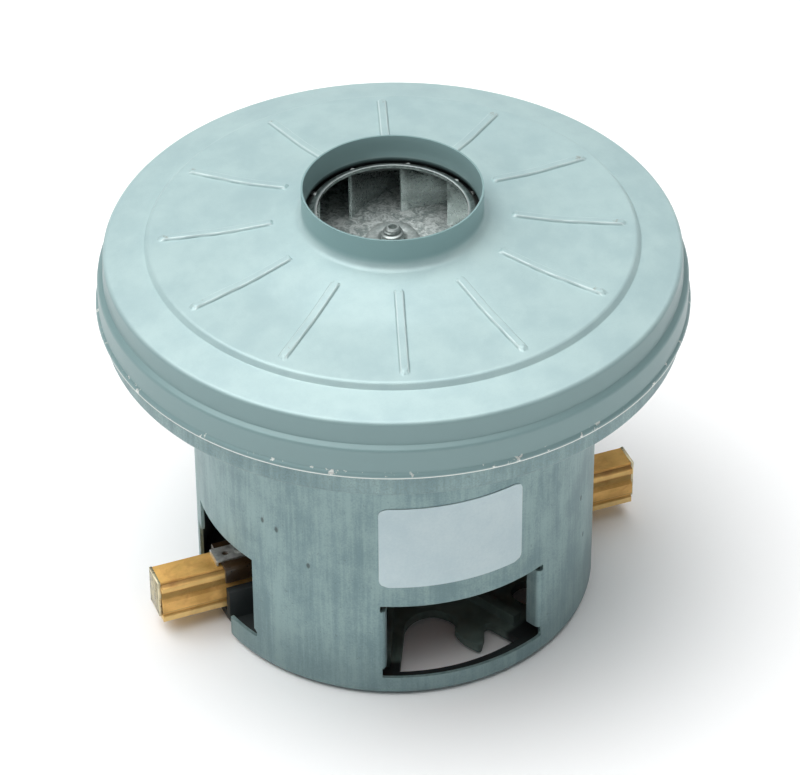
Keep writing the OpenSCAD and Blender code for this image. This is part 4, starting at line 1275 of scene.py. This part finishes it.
@dataclass
class MotorFrame:
    """The drawn can with its windows, relief slits and bent flaps."""

    wall_r: float = 46.4
    sheet_t: float = 0.8
    edge_r: float = 2.3
    foot_in_r: float = 40.5
    cup_r: float = 65.5
    cup_z: float = 74.7
    cup_top: float = 87.15
    window: Point = (5.5, 27.0)
    window_half: float = 23.9
    slit_half: float = 26.0
    low_slit_r: float = 1.35
    top_slit_r: float = 0.9
    brush_window: Point = (7.0, 29.8)
    brush_far: float = 6.76
    brush_near: float = 24.4
    foot_near: float = 13.6
    flap_slit: Point = (20.0, 20.8)
    bend_r: float = 1.2
    flap_depth: float = 2.6
    flap_w: float = 3.6
    brush_flap_low: float = 2.31
    foot_slit_r: float = 1.1
    ends: list[SlitEnd] = field(default_factory=list)

    def __post_init__(self) -> None:
        """Works out the slits' round ends."""
        for side in (-1, 1):
            for z, r in (
                (self.window[0] + self.low_slit_r, self.low_slit_r),
                (self.window[1] - self.top_slit_r, self.top_slit_r),
            ):
                self.ends.append(SlitEnd(self.slit_half - self.arc(r), side, z, r))

    def arc(self, run: float) -> float:
        """Gives the angle in degrees that a length takes up on the wall."""
        return math.degrees(run / self.wall_r)

    def section(self) -> list[Point]:
        """Draws the can's outer line from the foot's inner edge up to the cup's rim.

        Returns:
            The points.
        """
        path = rounded([
            (self.foot_in_r, 0.0),
            (self.wall_r, 0.0, self.edge_r),
            (self.wall_r, self.cup_z, 3.0),
            (self.cup_r, self.cup_z, 1.6),
            (self.cup_r, self.cup_top),
        ], 8)
        levels = {*self.window, *self.brush_window, *self.flap_slit, 3.2, 34.0, 46.0, 58.0, 66.0}
        for end in self.ends:
            levels |= {round(end.z + end.r * k, 3) for k in (-1, -0.85, -0.5, 0, 0.5, 0.85, 1)}
        levels |= {round(self.brush_window[0] + self.foot_slit_r * k, 3) for k in (0.3, 0.7, 1.2, 1.7, 2.0)}
        levels = sorted(v for v in levels if self.edge_r + 0.1 < v < self.cup_z - 3.2)
        kept = []
        for v in levels:
            if not kept or v - kept[-1] > 0.04:
                kept.append(v)
        wall = [(self.wall_r, v) for v in kept]
        low = [p for p in path if p[1] <= self.edge_r + 1e-6 and p[0] < self.wall_r + 0.01]
        high = [p for p in path if p[1] > self.edge_r + 1e-6]
        foot = [(self.foot_in_r + 0.9 * k, 0.0) for k in (1, 2, 3)]
        return low[:1] + foot + low[1:] + wall + high

    def turns(self) -> list[float]:
        """Spaces the mesh's lines, with one at every edge of an opening.

        Returns:
            Their angles in degrees.
        """
        jamb = self.window_half + self.arc(self.bend_r)
        exact = []
        for middle in (-90, 90):
            for side in (-1, 1):
                exact += [middle + side * jamb, middle + side * (self.slit_half + 1.2)]
                exact += [middle + side * end.turn for end in self.ends if end.side == side]
        for middle in (0, 180):
            exact += [middle - self.brush_far - self.flap_w, middle - self.brush_far]
            exact += [middle + self.foot_near, middle + self.brush_near, middle + self.brush_near + 2.2]
        exact = sorted({round(a % 360, 4) for a in exact})
        spread = [a for a in np.arange(0, 360, 1.5) if min(abs(off_middle(a, e)) for e in exact) > 0.6]
        return sorted(exact + spread)

    def state(self, turn: float, z: float, r: float) -> int:
        """Tells what the sheet does at a place.

        Args:
            turn: The angle in degrees.
            z: The height.
            r: The radius.

        Returns:
            1 for sheet, 0 for open and 2 where a flap runs on from the sheet.
        """
        low, high = self.flap_rows()
        for middle in (-90, 90):
            off = abs(off_middle(turn, middle))
            if any(abs(z - end.z) < end.r and off < end.turn for end in self.ends):
                return 0
            if low < z < high and self.window_half < off < self.window_half + self.arc(self.bend_r):
                return 2
            if self.window[0] < z < self.window[1] and off < self.window_half:
                return 0
        for middle in (0, 180):
            off = off_middle(turn, middle)
            bent = self.brush_flap_low < z < self.flap_slit[0] and r > self.wall_r - 0.01
            if bent and -self.brush_far - self.flap_w < off < -self.brush_far:
                return 0
            if -self.brush_far < off < self.brush_near and self.brush_window[0] < z < self.brush_window[1]:
                return 0
            if -self.brush_far < off < self.foot_near and z < self.brush_window[0] + 0.01:
                return 0
            if -self.brush_far - self.flap_w < off < 0 and self.flap_slit[0] < z < self.flap_slit[1]:
                return 0
        return 1

    def flap_rows(self) -> Point:
        """Gives the lower and upper end of the cooling windows' flaps."""
        return self.ends[0].z + self.ends[0].r, self.ends[1].z - self.ends[1].r

    def build(self) -> None:
        """Builds the can."""
        rows = self.section()
        turns = self.turns()
        skins = [swept(line, np.radians(turns)) for line in (rows, beside(rows, self.sheet_t))]
        for i, (r, z) in enumerate(rows):
            for k, a in enumerate(turns):
                shift = self._end_shift(a, z)
                if shift and r > self.wall_r - 0.01:
                    angle = math.radians(a + shift)
                    way = np.array([math.cos(angle), math.sin(angle)])
                    for skin in skins:
                        skin[i, k, :2] = math.hypot(*skin[i, k, :2]) * way
        middles = [(a + (b - a) % 360 / 2) % 360 for a, b in zip(turns, turns[1:] + turns[:1])]
        cells = [((p[1] + q[1]) / 2, (p[0] + q[0]) / 2) for p, q in zip(rows, rows[1:])]
        kept = np.array([[self.state(a, z, r) for a in middles] for z, r in cells])
        can = sheeted("drawn_can", [TwoSkins(*skins, kept, True), *self._flaps(rows)], ZINC, CUT_EDGE)
        applied(eased(can, 0.1, 50, 1), 40)
        dressed(can, ZINC, Body.HOUSING, "frame_steel", "motor_frame")

    def _end_shift(self, turn: float, z: float) -> float:
        """Gives how far a slit's end bulges at a place.

        Args:
            turn: The angle in degrees.
            z: The height.

        Returns:
            The angle in degrees, or 0 where no slit ends.
        """
        foot = SlitEnd(self.brush_near, 1, self.brush_window[0] + 0.8 * self.foot_slit_r, self.foot_slit_r)
        for middle, ends in ((-90, self.ends), (90, self.ends), (0, [foot]), (180, [foot])):
            off = off_middle(turn, middle)
            for end in ends:
                if abs(off - end.side * end.turn) < 0.02 and abs(z - end.z) < end.r:
                    return end.side * self.arc(math.sqrt(end.r ** 2 - (z - end.z) ** 2))
        return 0.0

    def _flaps(self, rows: list[Point]) -> list[TwoSkins]:
        """Runs the sheet round the windows' jambs and inwards.

        Args:
            rows: The can's section.

        Returns:
            The flaps.
        """
        low, high = self.flap_rows()
        levels = [z for r, z in rows if r > self.wall_r - 0.001 and low - 1e-6 <= z <= high + 1e-6]
        flaps = []
        for middle, side in ((-90, -1), (-90, 1), (90, -1), (90, 1)):
            a = math.radians(middle + side * (self.window_half + self.arc(self.bend_r)))
            out = np.array([math.cos(a), math.sin(a)])
            across = np.array([-math.sin(a), math.cos(a)]) * -side
            skins = []
            centre = out * (self.wall_r - self.bend_r)
            for r in (self.bend_r, self.bend_r - self.sheet_t):
                bend = np.linspace(0, math.pi / 2, 7)
                line = [centre + r * (out * math.cos(b) + across * math.sin(b)) for b in bend]
                line.append(line[-1] - out * self.flap_depth)
                skins.append(np.array([[[*p, z] for p in line] for z in levels]))
            kept = np.ones((len(levels) - 1, len(skins[0][0]) - 1), int)
            flaps.append(TwoSkins(*skins, kept, False, True))
        return flaps


@dataclass
class RatingLabel:
    """The bare label on the can, a bent sheet with round corners."""

    wall_r: float = 46.4
    gap: float = 0.002
    thick: float = 0.158
    width: float = 34.2
    height: float = 22.7
    low_z: float = 32.8
    turn: float = -94.5
    corner: float = 2.0
    columns: int = 60
    rows: int = 36

    def build(self) -> None:
        """Builds the label."""
        rise = np.linspace(-0.5, 0.5, self.rows + 1) * self.height
        over = np.maximum(0, abs(rise) - self.height / 2 + self.corner)
        reach = self.width / 2 - self.corner + np.sqrt(np.maximum(0, self.corner ** 2 - over ** 2))
        turns = math.radians(self.turn) + np.linspace(-1, 1, self.columns + 1) * reach[:, None] / self.wall_r
        skins = []
        for out in (self.gap + self.thick, self.gap):
            skins.append(swept([(self.wall_r + out, self.low_z + self.height / 2 + v) for v in rise], turns))
        sheet = TwoSkins(*skins, np.ones((self.rows, self.columns), int), False)
        dressed(sheeted("bare_label", [sheet], LABEL), LABEL, Body.HOUSING, "label_film", "rating_label")


@dataclass
class Fan:
    """The riveted sheet fan: two plates, curved blades and their staked tabs."""

    r: float = 52.5
    t: float = 0.8
    eye_r: float = 16.8
    eye_z: float = 103.7
    ring_w: float = 1.8
    drop: float = 2.9
    edge_z: float = 94.3
    back_z: float = 90.0
    bore: float = 2.65
    blades: int = 9
    turn: float = 63.0
    sweep: float = -88.0
    tab_l: float = 1.2
    tab_h: float = 0.35
    tab_places: Point = (0.035, 0.1, 0.5, 0.85)
    tab_sink: float = 0.25

    def front(self) -> list[Point]:
        """Gives the front plate's outer line from the eye outwards."""
        return rounded([
            (self.eye_r, self.eye_z),
            (self.eye_r + 0.3, self.eye_z, 0.25),
            (self.eye_r + self.ring_w, self.eye_z - 0.6, 0.9),
            (self.eye_r + self.ring_w + 1.8, self.eye_z - 0.2 - self.drop, 1.2),
            (self.eye_r + 9.2, self.eye_z - 1.9 - self.drop, 6),
            (self.r, self.edge_z),
        ], 6)

    def line(self, steps: int) -> list[Point]:
        """Draws a blade's middle line in plan from its inner end.

        Args:
            steps: How many steps it has.

        Returns:
            The points.
        """
        r0, r1 = self.eye_r + 0.4, self.r - 1
        done = []
        for i in range(steps + 1):
            r = r0 + (r1 - r0) * i / steps
            a = math.radians(self.sweep) * math.log(r / r0) / math.log(r1 / r0)
            done.append((r * math.cos(a), r * math.sin(a)))
        return done

    def under(self, r: float) -> float:
        """Gives the height of the front plate's underside at a radius."""
        low = beside(self.front(), -self.t)
        return float(np.interp(r, [p[0] for p in low], [p[1] for p in low]))

    def build(self) -> None:
        """Builds the four pieces of the fan."""
        copies = RoundCopies()
        front = self.front()
        plate = turned("fan_front", front + beside(front, -self.t)[::-1], 200, 30)
        applied(eased(plate, 0.12, 40), 35)
        dressed(plate, FAN, Body.ROTOR, "fan_alloy", "fan_front_plate")
        z0, z1 = self.back_z, self.back_z + self.t
        back = turned("fan_back", [(self.bore, z0), (self.r, z0), (self.r, z1), (self.bore, z1)], 200, 30)
        dressed(back, FAN, Body.ROTOR, "fan_alloy", "fan_back_plate")
        for one, finish, angle, node in (
            (self._blade(), BLADE, 35, "fan_blades"), (self._tabs(), STAKED, 40, "fan_tabs")
        ):
            copies.run(one, finish, angle, count=self.blades, turn=math.radians(self.turn))
            dressed(one, finish, Body.ROTOR, "fan_alloy", node)

    def _blade(self) -> bpy.types.Object:
        """Builds one blade.

        Returns:
            The blade.
        """
        line = self.line(28)
        sides = [beside(line, self.t / 2), beside(line, -self.t / 2)]
        points, faces = [], []
        for side in sides:
            for (x, y), (mx, my) in zip(side, line):
                top = self.under(math.hypot(mx, my)) + 0.02
                points += [(x, y, self.back_z + self.t - 0.02), (x, y, top)]
        n = len(line) * 2
        for i in range(len(line) - 1):
            a = 2 * i
            faces += [(a, a + 2, a + 3, a + 1), (n + a, n + a + 1, n + a + 3, n + a + 2)]
            faces += [(a + 1, a + 3, n + a + 3, n + a + 1), (a, n + a, n + a + 2, a + 2)]
        last = n - 2
        faces += [(0, 1, n + 1, n), (last, n + last, n + last + 1, last + 1)]
        blade = made("fan_blade_set", np.array(points), faces, 35)
        return applied(eased(blade, 0.15, 40), 35)

    def _tabs(self) -> bpy.types.Object:
        """Builds the staked tabs of one blade, domed by the staking.

        Returns:
            The tabs.
        """
        steps = 60
        line = self.line(steps)
        points, faces = [], []
        for share in self.tab_places:
            i = round(share * steps)
            x, y = line[i]
            dx, dy = np.array(line[i + 1]) - np.array(line[i - 1])
            turn = math.atan2(dy, dx)
            top = self.under(math.hypot(x, y)) + self.t
            for base, way in ((top - self.tab_sink, 1), (self.back_z + 0.05, -1)):
                self._dome(points, faces, (x, y, base), turn, way)
        return made("fan_tab_set", np.array(points), faces, 50)

    def _dome(self, points: list, faces: list, spot: Point, turn: float, way: int) -> None:
        """Adds one squashed tab.

        Args:
            points: The vertices so far.
            faces: The faces so far.
            spot: The middle of its foot.
            turn: The angle of its length.
            way: 1 for up and -1 for down.
        """
        rise = self.tab_h + (self.tab_sink if way > 0 else 0.0)
        levels = ((1.0, 0.0), (1.0, 0.45), (0.9, 0.8), (0.6, 1.0))
        sides = 10
        start = len(points)
        for size, up in levels:
            for a in np.linspace(0, 2 * math.pi, sides, endpoint=False):
                u = math.copysign(abs(math.cos(a)) ** 0.6, math.cos(a)) * self.tab_l / 2 * size
                v = math.copysign(abs(math.sin(a)) ** 0.6, math.sin(a)) * self.t * 0.75 * size
                x = spot[0] + u * math.cos(turn) - v * math.sin(turn)
                y = spot[1] + u * math.sin(turn) + v * math.cos(turn)
                points.append((x, y, spot[2] + way * rise * up))
        faces += banded(len(levels), sides, False, start)
        faces += [tuple(range(first, first + sides)) for first in (start, len(points) - sides)]


@dataclass
class FanFixing:
    """The nut, the washers and the shaft with its threaded end."""

    af: float = 11.1
    nut_z: float = 91.8
    nut_h: float = 4.4
    turn: float = -21.0
    thread_r: float = 2.65
    sink_r: float = 3.3
    pitch: float = 1.1
    tip_z: float = 98.8
    bore: float = 0.9
    cone_z: float = 96.6
    cone_slope: float = 0.42
    thread_depth: float = 0.36
    thread_z: float = 90.0
    spindle: tuple[Point, ...] = (
        (0.0, 0.8), (3.2, 0.8), (3.5, 1.1), (3.5, 18.0), (5.0, 18.0), (5.0, 69.95), (4.0, 70.0), (4.0, 90.0)
    )
    washer_r: float = 7.0
    washer_bore: float = 4.0
    washer_t: float = 1.0
    low_washer_z: float = 89.0
    high_washer_z: float = 90.8

    def build(self) -> None:
        """Builds the nut, the washers and the shaft."""
        dressed(self._nut(), NUT, Body.ROTOR, "bright_steel", "fan_nut")
        low = self._washer(self.washer_r, self.washer_bore, self.low_washer_z)
        high = self._washer(self.af / 2 + 0.2, self.thread_r, self.high_washer_z)
        dressed(low, BRIGHT, Body.ROTOR, "bright_steel", "fan_washers")
        dressed(high, BRIGHT, Body.ROTOR, "bright_steel")
        dressed(self._shaft(), NUT, Body.ROTOR, "bright_steel", "shaft")

    def _washer(self, r_out: float, r_in: float, z: float) -> bpy.types.Object:
        """Turns one washer with eased edges.

        Args:
            r_out: The outer radius.
            r_in: The inner radius.
            z: The height of its underside.

        Returns:
            The washer.
        """
        top = z + self.washer_t
        rim = [(r_out - 0.15, z), (r_out, z + 0.15), (r_out, top - 0.2), (r_out - 0.2, top)]
        return turned(f"clamp_washer_{z:.0f}", [(r_in, z), *rim, (r_in, top)], 96, 30)

    def _nut(self) -> bpy.types.Object:
        """Builds the hexagon nut as rings from the bore outwards and down.

        Returns:
            The nut.
        """
        steps = 180
        flat = self.af / 2
        top, foot = self.nut_z + self.nut_h, self.nut_z
        side = np.linspace(0, 2 * math.pi, steps, endpoint=False) % (math.pi / 3)
        edge = flat / np.cos(side - math.pi / 6)
        chamfer = flat - 0.15
        slope = (edge - chamfer) * 0.5
        rings = [
            (self.thread_r, foot), (self.thread_r, top - 0.8), (self.sink_r - 0.08, top - 0.06),
            (self.sink_r + 0.06, top), (chamfer, top),
            *[(chamfer + (edge - chamfer) * share, top - slope * share) for share in (0.35, 0.7, 0.94)],
            (edge - 0.02, top - slope - 0.12), (edge, top - slope - 0.3),
            (edge, foot + 0.2), (edge - 0.15, foot),
        ]
        return turned("hexagon_nut", rings, steps, 30, self.turn)

    def _shaft(self) -> bpy.types.Object:
        """Turns the shaft and cuts a helical thread on its end.

        Returns:
            The shaft.
        """
        steps = 72
        share = np.arange(steps) / steps
        rings = list(self.spindle)
        for z in np.arange(self.thread_z + 0.05, self.tip_z - 0.35, 0.09):
            ridge = np.clip(1.5 - abs((z / self.pitch - share) % 1.0 - 0.5) * 4.2, 0, 1)
            near_tip = np.clip((self.tip_z - 0.6 - z) / 0.5, 0, 1)
            cut = self.thread_depth * (1 - ridge * near_tip) * (1 if z < self.tip_z - 0.7 else 0.55)
            rings.append((self.thread_r - cut - max(0.0, z - self.cone_z) * self.cone_slope, z))
        rings += [
            (1.6, self.tip_z - 0.3), (1.35, self.tip_z), (self.bore + 0.1, self.tip_z),
            (self.bore, self.tip_z - 0.15), (self.bore * 0.95, self.tip_z - 1.7), (0.0, self.tip_z - 2.0),
        ]
        return turned("threaded_shaft", rings, steps, 35, closed=False)


@dataclass
class BrushGear:
    """The brush holders with their caps, sleeves and tags.

    Attributes:
        pieces: A piece's CAD node, its own name, its finish, its slot and its bevel.
    """

    pieces: tuple[tuple[str, str, Finish, str, float], ...] = (
        ("brush_holder", "folded_holder", BRASS, "brass", 0.14),
        ("brush_cap", "end_cap", CAP, "cap_metal", 0.15),
        ("brush_sleeve", "varnished_sleeve", SLEEVE, "black_moulding", 0.12),
        ("terminal_tag", "tinned_tag", TAG, "tag_metal", 0.08),
    )

    def build(self) -> None:
        """Refines the pieces on both sides."""
        for side in ("left", "right"):
            for node, name, finish, slot, ease in self.pieces:
                piece = refined(f"{node}_{side}", f"{name}_{side}", ease)
                dressed(piece, finish, Body.HOUSING, slot, f"{node}_{side}")


@dataclass
class BrushSprings:
    """The coil springs behind the brushes, closed at both ends."""

    coil_r: float = 2.0
    wire_r: float = 0.3
    turns: int = 11
    near: float = 32.01
    far: float = 59.19
    axis_z: float = 10.48
    travel: float = 12.0
    steps: int = 20
    sides: int = 8

    def build(self) -> None:
        """Winds both springs."""
        for side, sign in (("left", -1), ("right", 1)):
            spring = self._wound(f"coil_spring_{side}", sign)
            dressed(spring, BRIGHT, Body.HOUSING, "bright_steel", f"brush_spring_{side}")
            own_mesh(spring)

    def _wound(self, name: str, sign: int) -> bpy.types.Object:
        """Winds one spring.

        Args:
            name: The object's name.
            sign: 1 for the right side, -1 for the left.

        Returns:
            The spring.
        """
        count = self.turns * self.steps + 1
        turn = np.linspace(0, self.turns, count)
        pitch = 2.06 * self.wire_r
        start, end = self.near + self.wire_r, self.far - self.wire_r
        along = np.interp(turn, [0, 1, self.turns - 1, self.turns], [start, start + pitch, end - pitch, end])
        ring = np.arange(self.sides) * 2 * math.pi / self.sides
        radius = self.coil_r + self.wire_r * np.cos(ring)
        angle = (turn * 2 * math.pi)[:, None]
        x = sign * (along[:, None] + self.wire_r * np.sin(ring))
        y = sign * radius * np.cos(angle)
        points = np.stack([x, y, self.axis_z + radius * np.sin(angle)], axis=2)
        ends = [tuple(range(first, first + self.sides)) for first in (0, (count - 1) * self.sides)]
        return made(name, points, ends + banded(count, self.sides, False), 40)


@dataclass
class BrushEndBracket:
    """The moulded bracket in the bottom of the can."""

    ease: float = 0.3
    cradle_end: float = 41.2
    cradle_reach: float = 2.5

    def build(self) -> None:
        """Refines the bracket and draws its cradles out to the can's wall."""
        bracket = refined("brush_end_bracket", "moulded_bracket", self.ease, 40)
        for spot in bracket.data.vertices:
            reach = abs(spot.co.x) / MM
            if self.cradle_end < reach < self.cradle_end + 0.6 and abs(spot.co.y) < 9 * MM:
                spot.co.x += math.copysign(self.cradle_reach * MM, spot.co.x)
        dressed(bracket, MOULDING, Body.HOUSING, "black_moulding", "brush_end_bracket")


@dataclass
class Studio:
    """The floor, the light and the camera, which stands where the photograph was taken from."""

    width: float = 800
    focal: float = 4032.8
    distance: float = 926.07
    aim_z: float = 52.98
    elevation: float = 38.13
    azimuth: float = -21.0
    roll: float = -0.463
    pan_x: float = 0.085
    pan_y: float = 0.013
    sky: Point = (0.18, 4.0)
    sky_lean: Point = (-0.175, 0.067, 0.982)
    sky_rise: Point = (0.68, 1.0)
    key_power: float = 2.0
    key_size: float = 0.9
    key_spot: Point = (-0.75, 0.25, 1.2)
    floor_half: float = 6.0
    floor_drop: float = 0.2

    def build(self) -> None:
        """Sets up the camera, the floor and the light."""
        self._camera()
        self._floor()
        self._lights()

    def _camera(self) -> None:
        """Places the camera."""
        a, e, r = (math.radians(v) for v in (self.azimuth, self.elevation, self.roll))
        p, q = math.radians(self.pan_x), math.radians(self.pan_y)
        back = Vector((math.sin(a) * math.cos(e), -math.cos(a) * math.cos(e), math.sin(e)))
        right = Vector((math.cos(a), math.sin(a), 0))
        up = back.cross(right)
        right, up = right * math.cos(r) + up * math.sin(r), up * math.cos(r) - right * math.sin(r)
        ahead = -back
        side = right * math.cos(p) - ahead * math.sin(p)
        deep = right * math.sin(p) + ahead * math.cos(p)
        top = up * math.cos(q) - deep * math.sin(q)
        view = up * math.sin(q) + deep * math.cos(q)
        data = bpy.data.cameras.new("camera")
        data.sensor_fit = "HORIZONTAL"
        data.sensor_width = 36
        data.lens = 36 * self.focal / self.width
        data.clip_start = 0.05
        data.clip_end = 20
        camera = linked("camera", data)
        turn = Matrix((side, top, -view)).transposed().to_4x4()
        spot = Vector((0, 0, self.aim_z * MM)) + back * self.distance * MM
        camera.matrix_world = Matrix.Translation(spot) @ turn
        bpy.context.scene.camera = camera

    def _floor(self) -> None:
        """Lays the pale floor."""
        mesh = bpy.data.meshes.new("floor")
        half = self.floor_half
        corners = [(-half, -half, 0), (half, -half, 0), (half, half, 0), (-half, half, 0)]
        mesh.from_pydata(corners, [], [(0, 1, 2, 3)])
        floor = linked("floor", mesh)
        floor.location.z = -self.floor_drop * MM
        material = bpy.data.materials.new("pale floor")
        material.use_nodes = True
        shader = material.node_tree.nodes["Principled BSDF"]
        shader.inputs["Base Color"].default_value = (0.97, 0.97, 0.97, 1)
        shader.inputs["Roughness"].default_value = 0.9
        shader.inputs["Specular IOR Level"].default_value = 0.1
        mesh.materials.append(material)

    def _lights(self) -> None:
        """Makes a white sky, brightest above and a little to the left, and hangs a soft light."""
        world = bpy.data.worlds.new("studio")
        world.use_nodes = True
        world.node_tree.nodes.clear()
        sheet = Sheet(world.node_tree)
        x, y, z = sheet.axes(sheet.node("ShaderNodeTexCoord").out("Generated"))
        low, high = self.sky
        lean = x * self.sky_lean[0] + y * self.sky_lean[1] + z * self.sky_lean[2]
        grey, white = (low, low * 1.03, low * 1.05, 1), (high, high, high, 1)
        colour = sheet.mix(lean.above(*self.sky_rise), grey, white)
        glow = sheet.node("ShaderNodeBackground", None, {"Color": colour, "Strength": 1.0})
        sheet.node("ShaderNodeOutputWorld", None, {"Surface": glow})
        bpy.context.scene.world = world
        bpy.context.scene.view_settings.view_transform = "Standard"
        data = bpy.data.lights.new("key", "AREA")
        data.size = self.key_size
        data.energy = self.key_power
        light = linked("key", data)
        light.location = self.key_spot
        way = Vector((0, 0, 0.05)) - Vector(self.key_spot)
        light.rotation_euler = way.to_track_quat("-Z", "Y").to_euler()


def finish_kept() -> None:
    """Gives the CAD nodes that stay their finishes."""
    for finish, names in KEPT.items():
        for name in names:
            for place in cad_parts[name].material_slots:
                place.material = finish.material()
        LOG.info("%s: %s keep their shape", finish.title, ", ".join(names))


def main() -> None:
    """Builds every sub-assembly in order."""
    logging.basicConfig(level=logging.INFO, format="%(message)s")
    Studio().build()
    finish_kept()
    parts = (FanCover, MotorFrame, RatingLabel, Fan, FanFixing, BrushGear, BrushSprings, BrushEndBracket)
    for part in parts:
        LOG.info("%s", part.__name__)
        part().build()


if __name__ == "__main__":
    main()
